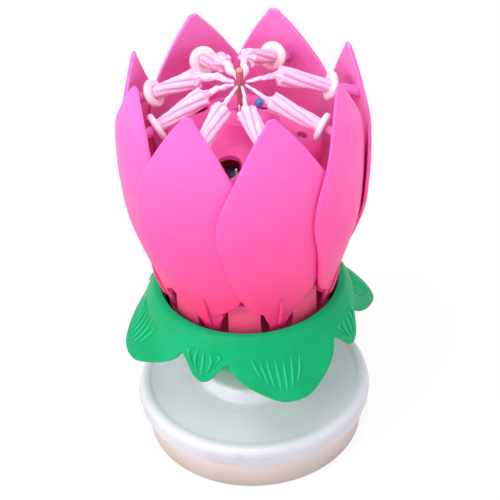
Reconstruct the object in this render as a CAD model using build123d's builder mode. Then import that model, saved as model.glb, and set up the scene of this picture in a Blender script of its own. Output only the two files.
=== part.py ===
from build123d import *
import os
from math import acos, atan2, cos, degrees, pi, radians, sin, tan

os.makedirs("parts", exist_ok=True)

# Musical birthday candle: a flower of eight hinged petals that turns on a round base.
# Origin: centre of the base's underside, +Z up. Sizes in millimetres, angles in degrees.

# Petals and their hinges
petal_count = 8
petal_step = 360 / petal_count
first_petal_angle = -72
petal_foot_z = 53.0
petal_height = 73.5
petal_mid_radius = 33.7
petal_half_width = 17.4
petal_thickness = 1.0
petal_lap = -2.1
stem_half_width = 4.3
stem_height = 8.0
hinge_radius = 21.8
hinge_z = 60.0
wire_radius = 0.6

# Running clearances and fits
shaft_clearance = 0.05
slide_clearance = 0.1
body_gap = 0.3
side_gap = 0.35
overrun = 1.0

# Base
base_cup_radius = 33.4
base_joint_z = 10.9
cover_top_z = 23.2
spindle_radius = 3.0

# Flower
collar_bottom_z = 23.6
hub_floor_z = 50.0
drum_radius = 22.0
drum_top_z = 111.6
fuse_radius = 1.1
fuse_top_z = 124.4


def save(part, name):
    part.label = name
    export_step(part, f"parts/{name}.step")


def upright(radius, angle, z=0.0):
    """Plane whose X points outward at an angle round the flower's axis."""
    a = radians(angle)
    return Plane(origin=(radius * cos(a), radius * sin(a), z), x_dir=(cos(a), sin(a), 0), z_dir=(0, 0, 1))


# Petal sheet: shares of the petal's height and of its widest radius, foot to tip
petal_profile_shares = [
    (-0.02, 0.697),
    (0.0, 0.704),
    (0.082, 0.764),
    (0.143, 0.804),
    (0.286, 0.903),
    (0.395, 0.964),
    (0.517, 0.991),
    (0.612, 1.0),
    (0.755, 0.985),
    (0.864, 0.927),
    (1.0, 0.849),
    (1.02, 0.838),
]
# Petal outline: shares of the height and of the widest half width, above the stem
petal_edge_shares = [
    (0.112, 0.300),
    (0.135, 0.440),
    (0.180, 0.585),
    (0.250, 0.715),
    (0.367, 0.870),
    (0.490, 0.990),
    (0.590, 1.000),
    (0.700, 0.860),
    (0.830, 0.560),
    (0.925, 0.300),
    (0.982, 0.110),
]
# Stem outline: shares of the stem's height and half width, foot to shoulder
stem_edge_shares = [(0.0, 0.56), (0.25, 0.63), (0.5, 0.79), (0.8, 1.0), (1.0, 1.0)]
petal_profile = [(r * petal_mid_radius, petal_foot_z + h * petal_height) for h, r in petal_profile_shares]
petal_edge = [(w * petal_half_width, petal_foot_z + h * petal_height) for h, w in petal_edge_shares]
petal_tip = (0, petal_foot_z + petal_height)
stem_edge = [(w * stem_half_width, petal_foot_z + h * stem_height) for h, w in stem_edge_shares]
lap_axis = Axis((0, petal_lap, 0), (0, 0, 1))
lap_plane = Plane(origin=(0, petal_lap, 0), x_dir=(1, 0, 0), z_dir=(0, -1, 0))

# Candle, its cup and its wick, in the plane of the petal that faces +X
cup_radius = 4.1
cup_thickness = 1.8
cup_edge = 0.8
cup_inset = 6.9
cup_height_share = 0.806
candle_tilt = 24.2
candle_length = 14.0
candle_foot_radius = 1.8
candle_head_radius = 3.1
candle_cone = 1.9
candle_end_radius = 1.0
candle_lobes = 6
candle_twist = 75
candle_layers = 6
flute_share = 0.78
cup_recess = 0.5
peg_radius = 1.3
pin_radius = 0.5
pin_grip = 3.0
wick_end_radius = 0.35
wick_mid_radius = 0.62
wick_end_gap = 0.5
wick_end_drop = 4.5


def sheet_radius(height_share):
    """Radius of the sheet's middle at a share of the petal's height, between listed points."""
    pairs = zip(petal_profile_shares, petal_profile_shares[1:])
    for (h0, r0), (h1, r1) in pairs:
        if h0 <= height_share <= h1:
            return petal_mid_radius * (r0 + (r1 - r0) * (height_share - h0) / (h1 - h0))
    raise ValueError("outside the petal")


cup_place_radius = sheet_radius(cup_height_share) - cup_inset
cup_place_z = petal_foot_z + cup_height_share * petal_height
candle_direction = (-cos(radians(candle_tilt)), 0, sin(radians(candle_tilt)))


def candle_plane(distance, turn=0.0):
    """Plane across the candle's axis, a distance from the back of its cup."""
    origin = Vector(cup_place_radius, 0, cup_place_z) + Vector(*candle_direction) * distance
    across = Vector(0, 1, 0).rotate(Axis((0, 0, 0), candle_direction), turn)
    return Plane(origin=origin, x_dir=across, z_dir=candle_direction)


# Peg that carries the cup, from the petal's inner face
peg_length = 9.0
with BuildPart() as cup_peg:
    with BuildSketch(candle_plane(0)):
        Circle(peg_radius)
    extrude(amount=-peg_length)
    with BuildSketch(lap_plane):
        with BuildLine():
            sheet_line = Spline(petal_profile)
            Line(sheet_line @ 1, (0, petal_profile[-1][1]))
            Line((0, petal_profile[-1][1]), (0, petal_profile[0][1]))
            Line((0, petal_profile[0][1]), sheet_line @ 0)
        make_face()
    revolve(axis=lap_axis, mode=Mode.INTERSECT)

# Petal: curved sheet cut to its outline, with stem, rib, hinge knuckle and toe
knuckle_radius = 1.5
knuckle_half_width = stem_half_width
arm_height = 2.2
arm_reach = sheet_radius((hinge_z - petal_foot_z) / petal_height) - hinge_radius
toe_reach = 3.2
toe_height = 1.6
toe_half_width = 2.2
rib_width = 1.3
rib_rise = 0.8
rib_shares = [(0.02, 0.3), (0.06, 1.0), (0.10, 1.0), (0.15, 0.8), (0.19, 0.0)]

with BuildPart() as petal:
    with BuildSketch(lap_plane):
        with BuildLine():
            Spline(petal_profile)
        trace(line_width=petal_thickness)
    revolve(axis=lap_axis)
    with BuildSketch(Plane.YZ):
        with BuildLine():
            left_edge = [(-y, z) for y, z in petal_edge]
            left_stem = [(-y, z) for y, z in stem_edge]
            Line(left_stem[0], stem_edge[0])
            Polyline(stem_edge + petal_edge[:1])
            Spline(petal_edge)
            ThreePointArc(petal_edge[-1], petal_tip, left_edge[-1])
            Spline(left_edge)
            Polyline(left_edge[:1] + left_stem[::-1])
        make_face()
    extrude(amount=petal_mid_radius + petal_thickness + overrun, mode=Mode.INTERSECT)
    with BuildSketch(Plane.XZ):
        with BuildLine():
            heights = [petal_foot_z + h * petal_height for h, rise in rib_shares]
            inner = [(sheet_radius(h), z) for (h, rise), z in zip(rib_shares, heights)]
            outer = [
                (sheet_radius(h) + petal_thickness / 2 + rise * rib_rise, z)
                for (h, rise), z in zip(rib_shares, heights)
            ]
            Polyline(inner + outer[::-1], close=True)
        make_face()
    extrude(amount=rib_width / 2, both=True)
    with Locations((hinge_radius, 0, hinge_z)):
        Cylinder(knuckle_radius, 2 * knuckle_half_width, rotation=(90, 0, 0))
        Box(arm_reach, 2 * knuckle_half_width, arm_height, align=(Align.MIN, Align.CENTER, Align.CENTER))
        Box(toe_reach, 2 * toe_half_width, toe_height, align=(Align.MAX, Align.CENTER, Align.CENTER))
        hinge_bore = wire_radius + shaft_clearance
        Cylinder(hinge_bore, 2 * knuckle_half_width + overrun, rotation=(90, 0, 0), mode=Mode.SUBTRACT)
    add(cup_peg.part)
    with BuildSketch(candle_plane(0)):
        Circle(pin_radius)
    extrude(amount=cup_thickness + pin_grip)

# Candle cup: round disc with a shallow seat for the candle's foot
cup_seat_radius = candle_foot_radius + slide_clearance
with BuildPart() as candle_cup:
    with BuildSketch(candle_plane(0)):
        Circle(cup_radius)
    extrude(amount=cup_thickness)
    fillet(candle_cup.edges().filter_by(GeomType.CIRCLE), cup_edge)
    with BuildSketch(candle_plane(cup_thickness)):
        Circle(cup_seat_radius)
    extrude(amount=-cup_recess, mode=Mode.SUBTRACT)
    with BuildSketch(candle_plane(0)):
        Circle(pin_radius)
    extrude(amount=cup_thickness, mode=Mode.SUBTRACT)

# Candle: twisted fluted body, widest at the wick end, with a short cone
foot_distance = cup_thickness - cup_recess
shoulder_distance = cup_thickness + candle_length


def star(radius):
    """Corners of a lobed section: crests at the radius, valleys at a share of it."""
    corners = []
    for i in range(2 * candle_lobes):
        a = pi * i / candle_lobes
        r = radius if i % 2 == 0 else radius * flute_share
        corners.append((r * cos(a), r * sin(a)))
    return corners


with BuildPart() as candle:
    for i in range(candle_layers + 1):
        share = i / candle_layers
        distance = foot_distance + share * (shoulder_distance - foot_distance)
        place = candle_plane(distance, share * candle_twist)
        with BuildSketch(place):
            width = candle_foot_radius + share * (candle_head_radius - candle_foot_radius)
            Polygon(star(width), align=None)
    loft(ruled=True)
    with BuildSketch(candle_plane(shoulder_distance, candle_twist)):
        Polygon(star(candle_head_radius), align=None)
    with BuildSketch(candle_plane(shoulder_distance + candle_cone, candle_twist)):
        Polygon(star(candle_end_radius), align=None)
    loft(ruled=True)
    with BuildSketch(candle_plane(foot_distance)):
        Circle(pin_radius)
    extrude(amount=pin_grip + cup_recess, mode=Mode.SUBTRACT)

# Wick: waxed, tapering from the candle's end to just short of the fuse
wick_root = candle_plane(shoulder_distance + candle_cone)
wick_root_radius = candle_end_radius * flute_share
wick_bend_share = 0.45
wick_end_plane = Plane(origin=(fuse_radius + wick_end_gap, 0, fuse_top_z - wick_end_drop), z_dir=(-1, 0, 0))
with BuildPart() as wick:
    with BuildSketch(wick_root):
        Circle(wick_root_radius)
    middle = wick_root.origin + (wick_end_plane.origin - wick_root.origin) * wick_bend_share
    middle_plane = Plane(origin=middle + Vector(0, 0, wick_mid_radius), z_dir=(-1, 0, 0))
    with BuildSketch(middle_plane):
        Circle(wick_mid_radius)
    with BuildSketch(wick_end_plane):
        Circle(wick_end_radius)
    loft()

petal_pieces = {"petal": petal, "candle_cup": candle_cup, "candle": candle, "wick": wick}
for index in range(petal_count):
    turn = Rot(0, 0, first_petal_angle + index * petal_step)
    for name, piece in petal_pieces.items():
        save(turn * piece.part, f"{name}_{index + 1}")

# Leaf collar: bowl with a rolled crest, four big leaves and four small ones that hang steeper
leaf_pairs = 4
leaf_step = 360 / leaf_pairs
big_leaf_angle = first_petal_angle
big_leaf_half_angle = 31.0
collar_thickness = 1.4
collar_neck_radius = 8.5
collar_seat_z = 28.0
crest_radius = 26.6
crest_z = 53.5
big_leaf_radius = 36.8
big_leaf_tip_z = 38.3
small_leaf_radius = 32.4
small_leaf_tip_z = 40.2
notch_radius = 30.5
notch_z = 47.2
bowl_depth = crest_z - collar_seat_z
bowl_shares = [
    (0.24, -0.02),
    (0.53, 0.06),
    (0.77, 0.30),
    (0.895, 0.60),
    (0.945, 0.85),
    (1.0, 1.0),
    (1.09, 0.855),
]
big_leaf_shares = [(0.115, 0.25), (0.40, 0.56), (1.0, 1.0), (1.08, 1.05)]
small_leaf_shares = [(0.42, 0.37), (0.72, 0.66), (1.0, 1.0), (1.1, 1.15)]
bowl_points = [(r * crest_radius, collar_seat_z + h * bowl_depth) for r, h in bowl_shares]
flank_radius, flank_z = bowl_points[-1]
big_leaf_points = [
    (flank_radius + r * (big_leaf_radius - flank_radius), flank_z + h * (big_leaf_tip_z - flank_z))
    for r, h in big_leaf_shares
]
small_leaf_points = [
    (flank_radius + r * (small_leaf_radius - flank_radius), flank_z + h * (small_leaf_tip_z - flank_z))
    for r, h in small_leaf_shares
]
big_leaf_end_shares = (1.0, -0.6)
small_leaf_end_shares = (0.2, -1.0)
big_outline_shares = [(0.80, 0.30), (0.45, 0.70), (0.20, 0.945)]
small_outline_shares = [(0.62, 0.42), (0.30, 0.85)]
section_plane = Plane.XZ
bowl_segments = 18
leaf_segments = 8


def polar(radius, angle):
    return (radius * cos(radians(angle)), radius * sin(radians(angle)))


def shell_corners(curve, segments):
    """Corners of a shell of the collar's thickness, half to each side of a curve."""
    half = collar_thickness / 2
    upper = []
    lower = []
    for i in range(segments + 1):
        place = curve @ (i / segments)
        along = curve % (i / segments)
        upper.append((place.X - along.Y * half, place.Y + along.X * half))
        lower.append((place.X + along.Y * half, place.Y - along.X * half))
    return upper + lower[::-1]


with BuildLine() as bowl_line:
    Spline(bowl_points)
flank_direction = bowl_line.line % 1
with BuildLine() as big_leaf_line:
    Spline([bowl_points[-1]] + big_leaf_points, tangents=[flank_direction, big_leaf_end_shares])
with BuildLine() as small_leaf_line:
    Spline([bowl_points[-1]] + small_leaf_points, tangents=[flank_direction, small_leaf_end_shares])

with BuildPart() as bowl:
    with BuildSketch(section_plane):
        Polygon(shell_corners(bowl_line.line, bowl_segments), align=None)
    revolve(axis=Axis.Z)

with BuildPart() as big_leaves:
    with BuildSketch(section_plane):
        Polygon(shell_corners(big_leaf_line.line, leaf_segments), align=None)
    revolve(axis=Axis.Z)
    with BuildSketch(Plane.XY):
        with BuildLine():
            reach = big_leaf_radius + collar_thickness / 2 - notch_radius
            side = [
                polar(notch_radius + out * reach, turn * big_leaf_half_angle)
                for turn, out in [(1.0, 0.0)] + big_outline_shares + [(0.0, 1.0)]
            ]
            points = side + [(x, -y) for x, y in side[-2::-1]]
            Spline(points)
            Polyline(points[-1], (0, 0), points[0])
        make_face()
    extrude(amount=crest_z + collar_thickness, mode=Mode.INTERSECT)

with BuildPart() as small_leaves:
    with BuildSketch(section_plane):
        Polygon(shell_corners(small_leaf_line.line, leaf_segments), align=None)
    revolve(axis=Axis.Z)
    small_leaf_half_angle = leaf_step / 2 - big_leaf_half_angle
    wedge_reach = small_leaf_radius * 2
    with BuildSketch(Plane.XY):
        Polygon(
            (0, 0),
            polar(wedge_reach, -small_leaf_half_angle),
            polar(wedge_reach, small_leaf_half_angle),
            align=None,
        )
    extrude(amount=crest_z + collar_thickness, mode=Mode.INTERSECT)
    notch_half_width = (notch_radius + collar_thickness) * sin(radians(small_leaf_half_angle))
    drop = notch_z - small_leaf_tip_z
    with BuildSketch(Plane.YZ.offset(flank_radius - 2 * collar_thickness)):
        with BuildLine():
            side = [
                (w * notch_half_width, notch_z - h * drop)
                for w, h in [(1.0, 0.0)] + small_outline_shares + [(0.0, 1.0)]
            ]
            points = side + [(-y, z) for y, z in side[-2::-1]]
            Spline(points)
            low = small_leaf_tip_z - drop
            outer_corner = notch_half_width + overrun
            Polyline(
                points[-1],
                (-outer_corner, notch_z),
                (-outer_corner, low),
                (outer_corner, low),
                (outer_corner, notch_z),
                points[0],
            )
        make_face()
    extrude(amount=small_leaf_radius, mode=Mode.SUBTRACT)

with BuildPart() as leaf_collar:
    add(bowl.part)
    with PolarLocations(0, leaf_pairs, start_angle=big_leaf_angle):
        add(big_leaves.part)
    with PolarLocations(0, leaf_pairs, start_angle=big_leaf_angle + leaf_step / 2):
        add(small_leaves.part)
    with BuildSketch(Plane.XY.offset(collar_bottom_z)):
        Circle(collar_neck_radius)
    extrude(amount=collar_seat_z - collar_bottom_z)
    with BuildSketch(Plane.XY.offset(collar_bottom_z)):
        Circle(spindle_radius)
    extrude(amount=collar_seat_z - collar_bottom_z + overrun, mode=Mode.SUBTRACT)
save(leaf_collar.part, "leaf_collar")

# Flower hub: seat on the spindle, floor, slotted rim and hinge lugs
hub_reach = 2.0
hub_radius = hinge_radius + hub_reach
hub_floor_thickness = 2.0
hub_boss_radius = 6.0
rim_inset = 0.9
rim_inner_radius = hinge_radius - rim_inset
rim_top_z = 54.4
post_radius = 4.0
post_top_z = 64.0
lug_thickness = 1.35
lug_radius = 1.4
lug_half_depth = 1.4
slot_half_width = stem_half_width + side_gap
lug_offset = slot_half_width + lug_thickness / 2
spindle_top_z = 46.0
with BuildPart() as flower_hub:
    with BuildSketch(Plane.XY.offset(hub_floor_z)):
        Circle(hub_radius)
    extrude(amount=-hub_floor_thickness)
    with BuildSketch(Plane.XY.offset(collar_seat_z)):
        Circle(hub_boss_radius)
    extrude(amount=hub_floor_z - collar_seat_z)
    with BuildSketch(Plane.XY.offset(hub_floor_z)):
        Circle(post_radius)
    extrude(amount=post_top_z - hub_floor_z)
    with BuildSketch(Plane.XY.offset(hub_floor_z)):
        Circle(hub_radius)
        Circle(rim_inner_radius, mode=Mode.SUBTRACT)
    extrude(amount=rim_top_z - hub_floor_z)
    with BuildSketch(Plane.XY.offset(hub_floor_z)):
        with PolarLocations(hub_radius, petal_count, start_angle=first_petal_angle):
            Rectangle(2 * (hub_radius - rim_inner_radius) + overrun, 2 * slot_half_width)
    extrude(amount=rim_top_z - hub_floor_z, mode=Mode.SUBTRACT)
    for side in (-1, 1):
        for index in range(petal_count):
            angle = first_petal_angle + index * petal_step
            place = upright(0, angle).location * Location((hinge_radius, side * lug_offset, 0))
            with Locations(place):
                with Locations((-lug_half_depth, 0, hub_floor_z)):
                    Box(
                        2 * lug_half_depth,
                        lug_thickness,
                        hinge_z - hub_floor_z,
                        align=(Align.MIN, Align.CENTER, Align.MIN),
                    )
                with Locations((0, 0, hinge_z)):
                    Cylinder(lug_radius, lug_thickness, rotation=(90, 0, 0))
    for index in range(petal_count):
        angle = first_petal_angle + index * petal_step
        with Locations(upright(0, angle).location * Location((hinge_radius, 0, hinge_z))):
            Cylinder(
                wire_radius, 2 * (lug_offset + lug_thickness), rotation=(90, 0, 0), mode=Mode.SUBTRACT
            )
    with BuildSketch(Plane.XY.offset(collar_seat_z)):
        Circle(spindle_radius)
    extrude(amount=spindle_top_z - collar_seat_z, mode=Mode.SUBTRACT)
save(flower_hub.part, "flower_hub")

# Hinge wire: eight straight lengths mitred into a closed ring through all lugs and knuckles
half_step = petal_step / 2
wire_corner = hinge_radius / cos(radians(half_step))
mitre_reach = wire_corner * 2
with BuildPart() as wire_length:
    with Locations((hinge_radius, 0, hinge_z)):
        Cylinder(wire_radius, 2 * wire_corner, rotation=(90, 0, 0))
    with BuildSketch(Plane.XY.offset(hinge_z - 2 * wire_radius)):
        Polygon((0, 0), polar(mitre_reach, -half_step), polar(mitre_reach, half_step), align=None)
    extrude(amount=4 * wire_radius, mode=Mode.INTERSECT)
with BuildPart() as hinge_wire:
    with PolarLocations(0, petal_count, start_angle=first_petal_angle):
        add(wire_length.part)
save(hinge_wire.part, "hinge_wire")

# Sound dome: drum on legs between the petals' slots, with a stepped holed top
drum_wall = 1.4
drum_leg_inset = 2.8
drum_leg_radius = hinge_radius - drum_leg_inset
drum_taper_z = 65.0
leg_slot_top_z = 64.2
top_shares = [(0.0, 0.0), (0.35, 0.0), (0.46, 0.38), (0.60, 0.47), (0.79, 0.54), (0.93, 0.68), (1.0, 0.90)]
drum_top_depth = 12.0
dome_points = [
    (r * (drum_radius - drum_wall / 2), drum_top_z - drum_wall / 2 - h * drum_top_depth)
    for r, h in top_shares
]
sound_hole_radius = 3.5
sound_hole_place = 17.2
sound_hole_lead = -103.5
sound_hole_count = 3
sensor_hole_radius = 1.4
sensor_hole_place = 16.7
sensor_hole_angle = -13.5
bead_place = 5.0
bead_angles = (10, 170)
bead_radius = 1.2
bead_rise = 0.2
bead_z = drum_top_z + bead_radius + bead_rise
lead_radius = 0.25
lead_hole_radius = 0.45
board_radius = 17.4
board_thickness = 1.2
board_top_z = 99.0
stand_off_radius = 1.2
stand_off_place = 12.0
stand_off_count = 4
fuse_seat_depth = 4.5
fuse_socket_radius = 2.6
with BuildPart() as sound_dome:
    with BuildSketch(Plane.XZ):
        with BuildLine():
            Polyline(dome_points[:3])
            Spline(dome_points[2:])
            Line(dome_points[-1], (drum_leg_radius, drum_taper_z))
            Line((drum_leg_radius, drum_taper_z), (drum_leg_radius, hub_floor_z))
        trace(line_width=drum_wall)
        with BuildLine():
            Polyline(
                (0, hub_floor_z),
                (mitre_reach, hub_floor_z),
                (mitre_reach, drum_top_z + drum_wall),
                (0, drum_top_z + drum_wall),
                close=True,
            )
        make_face(mode=Mode.INTERSECT)
    revolve(axis=Axis.Z)
    with BuildSketch(Plane.XY.offset(hub_floor_z)):
        with PolarLocations(drum_leg_radius, petal_count, start_angle=first_petal_angle):
            Rectangle(4 * drum_wall, 2 * slot_half_width)
    extrude(amount=leg_slot_top_z - hub_floor_z, mode=Mode.SUBTRACT)
    with BuildSketch(Plane.XY.offset(board_top_z)):
        with PolarLocations(sound_hole_place, sound_hole_count, start_angle=sound_hole_lead):
            Circle(sound_hole_radius)
        with Locations(polar(sensor_hole_place, sensor_hole_angle)):
            Circle(sensor_hole_radius)
        for angle in bead_angles:
            with Locations(polar(bead_place, angle)):
                Circle(lead_hole_radius)
    extrude(amount=drum_top_z - board_top_z + drum_wall, mode=Mode.SUBTRACT)
    with BuildSketch(Plane.XY.offset(board_top_z)):
        with PolarLocations(stand_off_place, stand_off_count):
            Circle(stand_off_radius)
        Circle(fuse_socket_radius)
    extrude(until=Until.NEXT)
    with BuildSketch(Plane.XY.offset(drum_top_z)):
        Circle(fuse_radius)
    extrude(amount=-fuse_seat_depth, mode=Mode.SUBTRACT)
save(sound_dome.part, "sound_dome")

# Music board with its dark block, and what hangs under it
block_width = 3.4
block_depth = 3.0
block_height = 4.4
block_place = 14.4
with BuildPart() as music_board:
    with BuildSketch(Plane.XY.offset(board_top_z)):
        Circle(board_radius)
    extrude(amount=-board_thickness)
    with BuildSketch(upright(block_place, sound_hole_lead, board_top_z)):
        Rectangle(block_depth, block_width)
    extrude(amount=block_height)
save(music_board.part, "music_board")

sounder_radius = 8.0
sounder_thickness = 2.0
sounder_place = -8.0
cell_radius = 5.8
cell_length = 5.4
cell_place = 8.0
board_bottom_z = board_top_z - board_thickness
with BuildPart() as sounder_disc:
    with BuildSketch(Plane.XY.offset(board_bottom_z)):
        with Locations((sounder_place, 0)):
            Circle(sounder_radius)
    extrude(amount=-sounder_thickness)
save(sounder_disc.part, "sounder_disc")

with BuildPart() as music_cell:
    with BuildSketch(Plane.XY.offset(board_bottom_z)):
        with Locations((cell_place, 0)):
            Circle(cell_radius)
    extrude(amount=-cell_length)
save(music_cell.part, "music_cell")

# Fuse stick, the thread beside it and the two heat beads on their leads
thread_radius = 0.3
thread_bulb_radius = 0.7
thread_place = 5.9
thread_angle = -95
thread_height = 5.4
with BuildPart() as fuse:
    with BuildSketch(Plane.XY.offset(drum_top_z - fuse_seat_depth)):
        Circle(fuse_radius)
    extrude(amount=fuse_top_z - drum_top_z + fuse_seat_depth)
save(fuse.part, "fuse")

with BuildPart() as fuse_thread:
    with BuildSketch(upright(thread_place, thread_angle, drum_top_z)):
        Circle(thread_radius)
    extrude(amount=thread_height)
    with Locations(upright(thread_place, thread_angle, drum_top_z + thread_bulb_radius).location):
        Sphere(thread_bulb_radius)
save(fuse_thread.part, "fuse_thread")

for index, angle in enumerate(bead_angles):
    with BuildPart() as heat_bead:
        with BuildSketch(upright(bead_place, angle, board_top_z)):
            Circle(lead_radius)
        extrude(amount=bead_z - board_top_z)
        with Locations(upright(bead_place, angle, bead_z).location):
            Sphere(bead_radius)
    save(heat_bead.part, f"heat_bead_{index + 1}")

# Opening plate: slides up the hub's post and lifts the petals' toes
plate_top_gap = 0.2
plate_thickness = 1.5
plate_leg_gap = 1.4
plate_radius = drum_leg_radius - drum_wall / 2 - plate_leg_gap
tab_inset = 1.7
tab_radius = hinge_radius - tab_inset
tab_half_width = 2.0
plate_top_z = hinge_z - toe_height / 2 - plate_top_gap
with BuildPart() as opening_plate:
    with BuildSketch(Plane.XY.offset(plate_top_z)):
        Circle(plate_radius)
        with PolarLocations(tab_radius / 2, petal_count, start_angle=first_petal_angle):
            Rectangle(tab_radius, 2 * tab_half_width)
        Circle(post_radius + slide_clearance, mode=Mode.SUBTRACT)
    extrude(amount=-plate_thickness)
save(opening_plate.part, "opening_plate")

# Coil spring between the hub's floor and the plate
spring_radius = 6.5
spring_wire_radius = 0.45
spring_turns = 4
spring_height = plate_top_z - plate_thickness - hub_floor_z - 2 * spring_wire_radius
with BuildPart() as plate_spring:
    with BuildLine():
        coil = Helix(
            pitch=spring_height / spring_turns,
            height=spring_height,
            radius=spring_radius,
            center=(0, 0, hub_floor_z + spring_wire_radius),
        )
    with BuildSketch(Plane(origin=coil @ 0, z_dir=coil % 0)):
        Circle(spring_wire_radius)
    sweep()
save(plate_spring.part, "plate_spring")

# Turning train: sizes shared by the gears, the cover and the cup
gear_module = 0.8
pressure_angle = 25
tooth_play = 0.12
addendum_share = 0.8
dedendum_share = 1.05
drive_teeth = 24
wheel_teeth = 22
pinion_teeth = 10
drive_pitch_radius = drive_teeth * gear_module / 2
wheel_pitch_radius = wheel_teeth * gear_module / 2
pinion_pitch_radius = pinion_teeth * gear_module / 2
idler_distance = drive_pitch_radius + pinion_pitch_radius
motor_distance = wheel_pitch_radius + pinion_pitch_radius
cup_wall = 1.6
foot_draft = 1.3
base_foot_radius = base_cup_radius - foot_draft
motor_radius = 7.25
motor_ring_wall = 1.2
motor_wall_gap = 1.65
motor_place = base_foot_radius - cup_wall - motor_wall_gap - motor_ring_wall - motor_radius
idler_angle = 40
motor_turn = degrees(
    acos((idler_distance**2 + motor_place**2 - motor_distance**2) / (2 * idler_distance * motor_place))
)
motor_angle = idler_angle - motor_turn
idler_xy = polar(idler_distance, idler_angle)
motor_xy = polar(motor_place, motor_angle)
idler_to_motor = degrees(atan2(motor_xy[1] - idler_xy[1], motor_xy[0] - idler_xy[0]))


def half_tooth(pitch_radius, teeth, radius):
    """Half of a tooth's angle, in radians, at a radius on its involute flank."""
    base = pitch_radius * cos(radians(pressure_angle))
    flank = acos(min(1, base / radius))
    involute = tan(flank) - flank
    pitch_involute = tan(radians(pressure_angle)) - radians(pressure_angle)
    return pi / (2 * teeth) - tooth_play / (2 * pitch_radius) + pitch_involute - involute


def gear_outline(teeth, first_tooth_angle):
    """Corners of a spur gear with one tooth centred on the given angle."""
    pitch = teeth * gear_module / 2
    root = pitch - dedendum_share * gear_module
    base = pitch * cos(radians(pressure_angle))
    tip = pitch + addendum_share * gear_module
    flank = [max(base, root), pitch, (pitch + tip) / 2, tip]
    corners = []
    for i in range(teeth):
        middle = radians(first_tooth_angle) + 2 * pi * i / teeth
        rising = [(r, middle - half_tooth(pitch, teeth, r)) for r in flank]
        falling = [(r, middle + half_tooth(pitch, teeth, r)) for r in reversed(flank)]
        if base > root:
            rising.insert(0, (root, rising[0][1]))
            falling.append((root, falling[-1][1]))
        corners += [(r * cos(a), r * sin(a)) for r, a in rising + falling]
    return corners


drive_gear_z = 6.0
drive_gear_thickness = 3.5
idler_bottom_z = 5.4
idler_wheel_z = 10.2
idler_wheel_thickness = 2.0
motor_pinion_z = 9.9
motor_pinion_thickness = 2.6
idler_post_radius = 1.2
motor_shaft_radius = 0.75
motor_top_z = 9.3
motor_nub_radius = 2.0
motor_nub_height = 0.3
motor_shaft_bottom_z = 4.5
with BuildPart() as drive_gear:
    with BuildSketch(Plane.XY.offset(drive_gear_z)):
        Polygon(gear_outline(drive_teeth, idler_angle), align=None)
        Circle(spindle_radius, mode=Mode.SUBTRACT)
    extrude(amount=drive_gear_thickness)
save(drive_gear.part, "drive_gear")

idler_gap_angle = idler_angle + 180 + 180 / pinion_teeth
with BuildPart() as idler_gear:
    with BuildSketch(Plane.XY.offset(idler_bottom_z)):
        with Locations(idler_xy):
            Polygon(gear_outline(pinion_teeth, idler_gap_angle), align=None)
    extrude(amount=idler_wheel_z - idler_bottom_z)
    with BuildSketch(Plane.XY.offset(idler_wheel_z)):
        with Locations(idler_xy):
            Polygon(gear_outline(wheel_teeth, idler_to_motor), align=None)
    extrude(amount=idler_wheel_thickness)
    with BuildSketch(Plane.XY.offset(idler_bottom_z)):
        with Locations(idler_xy):
            Circle(idler_post_radius + shaft_clearance)
    extrude(amount=idler_wheel_z + idler_wheel_thickness - idler_bottom_z, mode=Mode.SUBTRACT)
save(idler_gear.part, "idler_gear")

motor_gap_angle = idler_to_motor + 180 + 180 / pinion_teeth
with BuildPart() as motor_gear:
    with BuildSketch(Plane.XY.offset(motor_pinion_z)):
        with Locations(motor_xy):
            Polygon(gear_outline(pinion_teeth, motor_gap_angle), align=None)
    extrude(amount=motor_pinion_thickness)
    with BuildSketch(Plane.XY.offset(motor_shaft_bottom_z)):
        with Locations(motor_xy):
            Circle(motor_shaft_radius)
    extrude(amount=motor_pinion_z - motor_shaft_bottom_z)
save(motor_gear.part, "motor_gear")

# Base cup: drafted drum with everything that the works stand on
cup_floor = 1.8
tongue_step = 0.5
tongue_radius = base_cup_radius - tongue_step
tongue_wall = 1.5
tongue_top_z = 13.0
foot_fillet = 1.0
spindle_socket_radius = 5.0
spindle_socket_top_z = 5.0
spindle_bottom_z = 2.6
idler_seat_radius = 2.4
idler_post_top_z = 13.0
motor_ring_height = 3.5
bay_x = -20.0
bay_half_width = 6.2
contact_thickness = 0.5
bay_half_length = cell_length + contact_thickness
bay_wall = 1.2
bay_top_z = 11.8
door_thickness = 1.15
door_top_z = 1.35
door_margin = 1.15
door_screw_y = 9.6
screw_boss_radius = 2.2
screw_boss_top_z = 8.0
screw_radius = 0.8
screw_head_radius = 1.6
screw_head_height = 0.7
switch_x = 2.0
switch_y = -20.0
switch_height = 3.4
switch_wall = 0.8
knob_length = 3.0
knob_width = 2.2
knob_travel = 3.0
knob_flange = 0.7
knob_bottom_z = 0.4
slot_length = knob_length + knob_travel + 2 * side_gap
slot_width = knob_width + 2 * side_gap
well_half_length = bay_half_length + bay_wall
door_half_width = bay_half_width + door_margin
door_back_y = -(bay_half_length + door_margin)
door_front_y = door_screw_y + screw_boss_radius
door_length = door_front_y - door_back_y
door_centre_y = (door_front_y + door_back_y) / 2
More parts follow.
